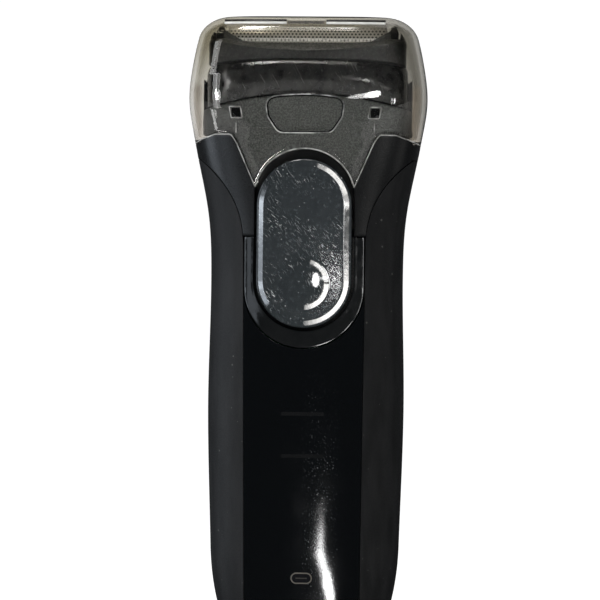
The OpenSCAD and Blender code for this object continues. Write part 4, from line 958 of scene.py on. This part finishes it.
frameRows = [
    (frameRing, "skirt", cassette["foot"]), (stepRing, "skirt", 0.1), (stepRing, "shelf", 0.2),
    (stepRing, "wall", 0.4), (frameRing, "wall", browZ), (lipRing, "lip", -0.1), (lipRing, "lipIn", 0),
    (lipRing, "mouth", 0), (lipRing, "hollow", -0.15), (frameRing, "hollow", cassette["foot"]),
    (frameRing, "skirt", cassette["foot"]),
]
frameLoops = [lambda a, make=make, size=cassette[name], z=z: make(a, size, z) for make, name, z in frameRows]
frameSkin = rings(cassette["columns"], frameLoops)
piece("cassetteFrame", frameSkin, "cassette", "satin_black", ["cassette_frame"], frameLook,
      bevel=cassette["bevel"])

# Cheeks over the foils' lower corners, and horns outside the foils' ends, slanting down to a tip
cheek = {"from": 20.6, "to": 15.6, "low": 151.0, "high": 154.0, "tip": 151.2, "faces": (-10.3, 9.65),
         "deep": 0.65}
horn = {"from": 23.0, "to": 23.9, "low": 151.7, "high": 153.6, "tip": 152.1, "half": 3.6, "bevel": 0.1}


def slanted(part, s, y0, y1):
    bm = block((s * part["from"], y0, part["low"]), (s * part["to"], y1, part["high"]))
    for v in bm.verts:
        if v.co.z > (part["tip"] + 0.1) * mm and abs(abs(v.co.x) - part["to"] * mm) < 0.01 * mm:
            v.co.z = part["tip"] * mm
    return outward(bm)


cheeks = []
for s in (-1, 1):
    cheeks += [slanted(cheek, s, y, y + cheek["deep"]) for y in cheek["faces"]]
    cheeks += [slanted(horn, s, y - horn["half"], y + horn["half"]) for y in (-form["foilY"], form["foilY"])]
piece("frameCheeks", joined(*cheeks), "cassette", "satin_black", (), frameLook, 0, horn["bevel"])

# Foils, and holders with peaked ends
foil = {"leg": 3.3, "columns": 40, "legRows": 4, "archRows": 32, "wall": 0.2}
holder = {"peak": [(22.5, 0.0), (22.4, 1.7), (21.5, 3.0), (21.3, 3.0), (20.4, 2.0), (20.08, 1.6)],
          "half": 3.65, "rows": 24, "swell": 0.7, "bevel": 0.2}
# The holders' outer lower edge is raised to clear the band when a foil floats
raised = {"below": 148, "outside": 9, "by": 1.4}


def foilSheet(y0):
    r, legRows, archRows = form["foilR"], foil["legRows"], foil["archRows"]

    def place(i, j):
        x = lerp(-form["foilHalf"], form["foilHalf"], i / foil["columns"])
        over = j - legRows - archRows
        if j < legRows:
            y, z = -r, lerp(-foil["leg"], 0, j / legRows)
        elif over > 0:
            y, z = r, lerp(0, -foil["leg"], over / legRows)
        else:
            a = math.pi * (j - legRows) / archRows
            y, z = -r * math.cos(a), r * math.sin(a)
        return x, y0 + y, form["frameTop"] + z

    return grid(foil["columns"], 2 * legRows + archRows, place)


def peak(y0, s):
    def place(i, j):
        a = math.pi * (j / holder["rows"] - 0.5)
        x, h = holder["peak"][i]
        rise = h * max(0, math.cos(a)) ** holder["swell"]
        return s * x, y0 + holder["half"] * math.sin(a), form["frameTop"] + rise

    return sealed(grid(len(holder["peak"]) - 1, holder["rows"], place))


for side, y0 in (("front", -form["foilY"]), ("rear", form["foilY"])):
    body, name = "foil_" + side, side.title()
    piece("foil" + name, foilSheet(y0), body, "foil_nickel", [body], wall=foil["wall"])
    base = copyOf("foil_holder_" + side)
    for v in base.verts:
        if v.co.z < raised["below"] * mm and abs(v.co.y) > raised["outside"] * mm:
            v.co.z += raised["by"] * mm
    holderSkin = joined(base, peak(y0, 1), peak(y0, -1))
    piece("holder" + name, holderSkin, body, "satin_black", ["foil_holder_" + side], bevel=holder["bevel"])
print("head made")

# Clear cap: one closed wall from the inner roof down to the rim and up to the outer roof
cap = {"wall": 1.0, "rim": (0.8, 0.35), "flank": 24.9, "arc": 34, "last": 8, "side": 60}
capStops = [capLine["arcX"] * math.sin(math.pi / 2 * i / cap["arc"]) for i in range(cap["arc"])]
for start, stop, count in (("arcX", "legX", 14), ("legX", "stepX", 12), ("stepX", "fallX", 12)):
    capStops += [lerp(capLine[start], capLine[stop], i / count) for i in range(count)]
capStops += [lerp(capLine["fallX"], cap["flank"], i / cap["last"]) for i in range(cap["last"])]
capTurns = [turnOf(x, capEdge(x)) for x in capStops]
capEdges = [capEdge(x) for x in capStops]
for k in range(cap["side"] + 1):
    turn = lerp(turnOf(cap["flank"], form["cap"]), 180, k / cap["side"])
    capTurns.append(turn)
    capEdges.append(capEdge(skin(turn, form["cap"]).x) if turn < 90 else form["cap"])
capTurns += [360 - t for t in reversed(capTurns[1:-1])]
capEdges += list(reversed(capEdges[1:-1]))
capCount = len(capTurns)
crownLow = form["top"] - form["crownH"]


def capWall(i, t, inset=0):
    k = i % capCount
    return skin(capTurns[k], lerp(capEdges[k], crownLow, t), inset)


def capCrown(i, bend, inset=0):
    k = i % capCount
    p = skin(capTurns[k], crownLow + form["crownH"] * math.sin(bend), inset)
    p.z -= inset * bend / (math.pi / 2)
    return p


def capRoof(i, s, inset=0):
    p = capCrown(i, math.pi / 2, inset)
    return Vector((p.x * s, p.y * s, p.z))


wallRows = [0.012, 0.04, 0.1] + [0.1 + 0.9 * i / 22 for i in range(1, 23)]
bends = [math.pi / 2 * i / 10 for i in range(1, 11)]
roofs = (0.02, 0.3, 0.6, 0.85)
capRows = [lambda i, s=s: capRoof(i, s, cap["wall"]) for s in roofs]
capRows += [lambda i, b=b: capCrown(i, b, cap["wall"]) for b in reversed(bends)]
capRows += [lambda i, t=t: capWall(i, t, cap["wall"]) for t in reversed(wallRows)]
capRows += [lambda i, inset=inset: capWall(i, 0, inset) for inset in cap["rim"]]
capRows += [lambda i, t=t: capWall(i, t) for t in wallRows]
capRows += [lambda i, b=b: capCrown(i, b) for b in bends]
capRows += [lambda i, s=s: capRoof(i, s) for s in reversed(roofs)]
capSkin = sealed(grid(capCount, len(capRows) - 1, lambda i, j: capRows[j](i), closed=True))
capPiece = piece("clearCap", capSkin, "cap", "clear_cap", ["cap"])
print("cap made")


def capTrim(name, bm, look, wall=0):
    piece(name, bm, "cap", "clear_cap", (), look, wall)


# Rim of the cap and its thumb pad's outline, both with painted highlights, and a dark line inside the outline
# as the painted shade of its groove
rim = {"r": 0.17, "inset": 0.1, "lift": 0.12}
pad = {"brow": 138.0, "sag": 0.5, "half": 7.4, "z": 133.1, "round": 2.6, "r": 0.15, "proud": 0.02}
padSides = [(9.9, 137.0), (9.2, 132.4), (6.6, 128.5)]
groove = {"r": 0.19, "wide": 0.965, "tall": 0.94, "sunk": 0.12}
rimPath = [capWall(i, 0, rim["inset"]) + Vector((0, 0, rim["lift"])) for i in range(capCount)]
capTrim("capRim", tube(rimPath, rim["r"]), edgeHighlightLook)
padBrow = [(pad["half"] * k / 4, pad["brow"] - pad["sag"] * (k / 4) ** 2) for k in range(-4, 5)]
padLeft = [(-x, z) for x, z in padSides]
padLine = rounded([padLeft[0], *padBrow, *padSides, padLeft[2], padLeft[1]], pad["round"])
padPath = [(p.x, -faceY(p.x, p.y) - pad["proud"], p.y) for p in padLine]
capTrim("thumbPad", tube(padPath, pad["r"]), padLook)
# A dark tube in the cap's wall inside the pad's outline: painted shade of its groove
grooveShadePath = []
for p in padLine:
    z = pad["z"] + (p.y - pad["z"]) * groove["tall"]
    grooveShadePath.append((p.x * groove["wide"], -faceY(p.x, p.y) + groove["sunk"], z))
capTrim("padGrooveShade", tube(grooveShadePath, groove["r"]), bezelLook)

# Leaning windows of the cap with a fine rib below each, their edges and ribs painted pale as highlights, and
# the latch bumps behind them
window = {"x": 17.1, "z": 133.5, "half": 1.4, "lean": 0.2, "round": 0.3, "sunk": 0.02, "r": 0.14}
rib = {"x": 17.0, "z": 130, "half": 0.12, "low": 128.4, "high": 131.0, "proud": 0.1, "deep": 0.5}
bump = {"half": 1.1, "front": -14.6, "back": -12.6, "bevel": 0.15}
windows = []
for s in (-1, 1):
    square = []
    for x, z in ((-1, -1), (-1, 1), (1, 1), (1, -1)):
        x, z = x * window["half"], z * window["half"]
        square.append((s * window["x"] + x + s * window["lean"] * z, window["z"] + z))
    path = [(p.x, -faceY(p.x, p.y) + window["sunk"], p.y) for p in rounded(square, window["round"], 3)]
    x, y = s * rib["x"], -faceY(rib["x"], rib["z"])
    windows.append(tube(path, window["r"], 6))
    windows.append(block((x - rib["half"], y - rib["proud"], rib["low"]),
                         (x + rib["half"], y + rib["deep"], rib["high"])))
capTrim("capWindows", joined(*windows), edgeHighlightLook)
bumps = []
for x in (-window["x"], window["x"]):
    bumps.append(block((x - bump["half"], bump["front"], window["z"] - bump["half"]),
                       (x + bump["half"], bump["back"], window["z"] + bump["half"])))
piece("latchBumps", joined(*bumps), "handle", "textured_black", (), looks["gloss_black"], 0, bump["bevel"])

# Slits along the roof's front edge: a ridge below painted pale as a highlight, dark groove above, smoky notch
# in the middle
slits = {
    "ends": ((-20.4, -4.9), (4.9, 19.4)), "ridge": (155.5, 156.0, 0.1), "groove": (156.2, 156.6, 0.06),
    "notch": (-4.6, 4.4, 155.6, 156.1, -0.1), "columns": 24, "high": 0.4, "deep": 0.3,
}


def roofStrip(x0, x1, z0, z1, proud):
    def place(i, j):
        x, z = lerp(x0, x1, i / slits["columns"]), lerp(z0, z1, j / 2)
        return x, -faceY(x, z) - proud, z

    return grid(slits["columns"], 2, place)


strips = (("capRidges", "ridge", ridgeHighlightLook, "high"), ("capGrooves", "groove", bezelLook, "deep"))
for name, kind, look, wall in strips:
    capTrim(name, joined(*[roofStrip(*ends, *slits[kind]) for ends in slits["ends"]]), look, slits[wall])
capTrim("capNotch", roofStrip(*slits["notch"]), smokeLook, slits["deep"])

# Back trimmer
trimmer = {"bevel": 0.2, "segments": 2}
for node, name in (("trimmer_slide", "trimmerSlide"), ("trimmer_button", "trimmerButton")):
    piece(name, copyOf(node), "trimmer", slots[node], [node], **trimmer)
print("trims made")

# Stage: a pale floor that curves up into a wall
paper = {"wide": 12, "start": -1.6, "floor": 3.6, "bend": 0.5, "run": 8.4, "steps": 64}


def paperLook(here):
    return {
        "Base Color": here.noise(3, 2).ramp(0.3, 0.7).tint(rgb(0.28), rgb(0.30)),
        "Roughness": 0.9,
        "Emission Color": rgb(1.0),
        "Emission Strength": 0.93,
    }


stage = bmesh.new()
bmesh.ops.create_grid(stage, x_segments=1, y_segments=paper["steps"], size=0.5)
for v in stage.verts:
    run, r = (v.co.y + 0.5) * paper["run"] - paper["floor"], paper["bend"]
    a = min(max(run / r, 0), math.pi / 2)
    y = paper["start"] + paper["floor"] + min(run, 0) + r * math.sin(a)
    z = r - r * math.cos(a) + max(run - r * math.pi / 2, 0)
    v.co = Vector((v.co.x * paper["wide"], y, z))
sweepMesh = bpy.data.meshes.new("sweep")
stage.to_mesh(sweepMesh)
stage.free()
sweep = bpy.data.objects.new("sweep", sweepMesh)
bpy.context.collection.objects.link(sweep)
for face in sweepMesh.polygons:
    face.use_smooth = True
sweepMesh.materials.append(material("paper", paperLook))
sweep.visible_glossy = False
sweep.visible_shadow = False


# An area light, for the named pieces only or for all but the named ones
def area(name, place, target, size, power, colour, only=(), without=(),
         shape="RECTANGLE", spread=180, roll=0):
    data = bpy.data.lights.new(name, "AREA")
    data.shape, data.size, data.size_y = shape, *size
    data.energy, data.color, data.spread = power, colour, math.radians(spread)
    obj = bpy.data.objects.new(name, data)
    obj.location = place
    obj.rotation_euler = (Vector(target) - Vector(place)).to_track_quat("-Z", "Y").to_euler()
    obj.rotation_euler.rotate_axis("Z", math.radians(roll))
    bpy.context.collection.objects.link(obj)
    if only or without:
        group = bpy.data.collections.new(name)
        for lit in only or without:
            group.objects.link(lit)
        for entry in group.collection_objects:
            entry.light_linking.link_state = "INCLUDE" if only else "EXCLUDE"
        obj.light_linking.receiver_collection = group


middle, thumb, head = (0, 0, 0.09), (0, -0.018, 0.095), (0, -0.012, 0.147)
warm, cool, white = (1, 0.98, 0.95), (0.82, 0.9, 1), (1, 1, 1)
sides = gripPieces + shoulderPieces
area("overhead", (0, 0.05, 1.1), middle, (0.9, 0.7), 3.0, warm)
area("top", (-0.17, -0.38, 0.85), middle, (0.17, 0.16), 2.4, warm)
area("leftFill", (-0.8, -0.2, 0.2), middle, (0.4, 0.6), 2.4, cool, without=[capPiece])
area("frontLeft", (-0.5, -0.75, 0.55), middle, (0.5, 0.5), 2.4, white, sides)
area("rightFill", (0.8, -0.2, 0.1), middle, (0.3, 0.5), 0.2, warm)

# Small lights for the switch alone: a broken ring that its bevel and dome throw towards the camera
ring = {"tilt": 19.1, "away": 0.5, "size": (0.06, 0.036), "power": 0.19}
sight = Vector((0.0515, -0.9987, 0.0))
lowRight, highRight = (0.005, -0.018, 0.089), (0.005, -0.018, 0.108)
lowLeft, highLeft = (-0.006, -0.018, 0.090), (-0.006, -0.018, 0.110)


def ringLight(turn, goal, share=1.0, tall=1.0, colour=warm):
    tilt, phi = math.radians(ring["tilt"]), math.radians(turn)
    normal = Vector((math.sin(tilt) * math.cos(phi), -math.cos(tilt), math.sin(tilt) * math.sin(phi)))
    place = Vector(goal) + ring["away"] * (2 * normal.dot(sight) * normal - sight)
    size = (ring["size"][0], ring["size"][1] * tall)
    area("ring", place, goal, size, ring["power"] * share * tall, colour, [switchPiece], roll=turn)


for turn in range(-86, 0, 6):
    ringLight(turn, lowRight, lerp(0.3, 1.0, min(1, (turn + 86) / 30)))
ringLight(3, (0.010, -0.018, 0.094), 0.035, 0.9)
ringLight(8, (0.008, -0.018, 0.092), 0.9, 0.6)
for turn in range(10, 76, 6):
    ringLight(turn, highRight, 0.75 if 20 < turn < 60 else 0.35)
for turn in (186, 194, 202, 210):
    ringLight(turn, lowLeft, 0.3, 1.3, cool)
for turn, share in ((176, 0.35), (169, 0.22), (162, 0.1), (155, 0.04)):
    ringLight(turn, highLeft, share, 1.2, cool)
area("left", (-0.63, -0.70, 0.1), thumb, (0.1, 0.28), 0.55, cool, [switchPiece])
for name, place, target, size, power in (
    ("glint", (0.052, -0.168, 0.112), (0.0025, -0.019, 0.092), (0.034, 0.07), 0.19),
    ("spark", (0.098, -0.168, 0.123), (0.0045, -0.018, 0.0925), (0.03, 0.02), 0.03),
    ("bridge", (-0.0146, -0.517, 0.0914), (0.0082, -0.018, 0.0918), (0.006, 0.003), 0.006),
):
    area(name, place, target, size, power, white, [switchPiece], shape="ELLIPSE")

# Soft sides for the shoulders and the bezel
flashGoal = (0.0065, -0.0165, 0.0765)
area("flash", (0.145, -0.359, -0.26), flashGoal, (0.16, 0.12), 1.6, white, [bezelPiece], shape="ELLIPSE")
area("softLeft", (-0.68, -0.66, 0.14), thumb, (0.3, 0.45), 0.62, cool, shoulderPieces + [bezelPiece])
area("lipRight", (0.80, -0.41, 0.1), thumb, (0.14, 0.5), 2.6, white, [bezelPiece])
area("lipLow", (0.66, -0.675, -0.28), thumb, (0.2, 0.2), 2.2, white, [bezelPiece])
area("softRight", (0.57, -0.78, 0.15), thumb, (0.25, 0.4), 0.36, warm, shoulderPieces)

# Lights on the head, through the cap, and on the cap alone
area("headTop", (0, -0.45, 0.85), head, (0.5, 0.12), 0.0125, warm, spread=10)
area("headLow", (0.2, -0.84, -0.17), head, (0.3, 0.12), 3.4, warm, [capPiece, bandPiece])
for name, place, size, power, shape in (
    ("capLeft", (-0.64, -0.64, 0.2), (0.12, 0.28), 0.5, "RECTANGLE"),
    ("capHigh", (-0.70, -0.507, 0.426), (0.12, 0.2), 0.4, "RECTANGLE"),
    ("capFoot", (-0.706, -0.543, -0.024), (0.08, 0.14), 0.35, "RECTANGLE"),
    ("capSpot", (-0.6, -0.67, 0.185), (0.09, 0.09), 0.7, "ELLIPSE"),
    ("capRight", (0.53, -0.74, 0.145), (0.045, 0.06), 0.2, "ELLIPSE"),
    ("capFront", (0.22, -0.87, 0.222), (0.17, 0.04), 0.5, "ELLIPSE"),
    ("capWide", (0.13, -0.89, 0.222), (0.2, 0.03), 0.12, "ELLIPSE"),
):
    area(name, place, head, size, power, white, [capPiece], shape=shape)

# Lights on the panel: the curved streak low on the right, and one that shows the scuffs and painted glints
for name, place, target, size, power in (
    ("streak", (0.0245, -0.26, -0.043), (0.005, -0.0145, 0.022), (0.014, 0.074), 0.1),
    ("streakFoot", (0.033, -0.26, -0.058), (0.006, -0.014, 0.016), (0.022, 0.04), 0.08),
):
    area(name, place, target, size, power, white, [panelPiece], roll=30)
area("dust", (0.25, -0.45, 0.75), (0.004, -0.016, 0.04), (0.2, 0.2), 4.5, white, [panelPiece])

# Faint light of the room
room = {"colour": (0.9, 0.95, 1, 1), "strength": 0.04}
world = bpy.data.worlds.new("room")
world.use_nodes = True
air = world.node_tree.nodes["Background"].inputs
air[0].default_value, air[1].default_value = room["colour"], room["strength"]
bpy.context.scene.world = world
bpy.context.scene.view_settings.view_transform = "Standard"

# Camera at the photograph's angle
view = {
    "turn": 3.2, "rise": 0.4, "roll": 0.55, "away": 1.0, "aim": (-1.75, 0, 87.3), "width": 150, "sensor": 36,
    "near": 0.01, "far": 20,
}
a, e = math.radians(view["turn"]), math.radians(view["rise"])
backward = Vector((math.sin(a) * math.cos(e), -math.cos(a) * math.cos(e), math.sin(e)))
data = bpy.data.cameras.new("camera")
data.sensor_width = view["sensor"]
data.lens = view["sensor"] * view["away"] / (view["width"] * mm)
camera = bpy.data.objects.new("camera", data)
camera.location = Vector(view["aim"]) * mm + backward * view["away"]
camera.rotation_euler = (-backward).to_track_quat("-Z", "Y").to_euler()
camera.rotation_euler.rotate_axis("Z", math.radians(view["roll"]))
data.clip_start, data.clip_end = view["near"], view["far"]
bpy.context.collection.objects.link(camera)
bpy.context.scene.camera = camera

print("scene done")
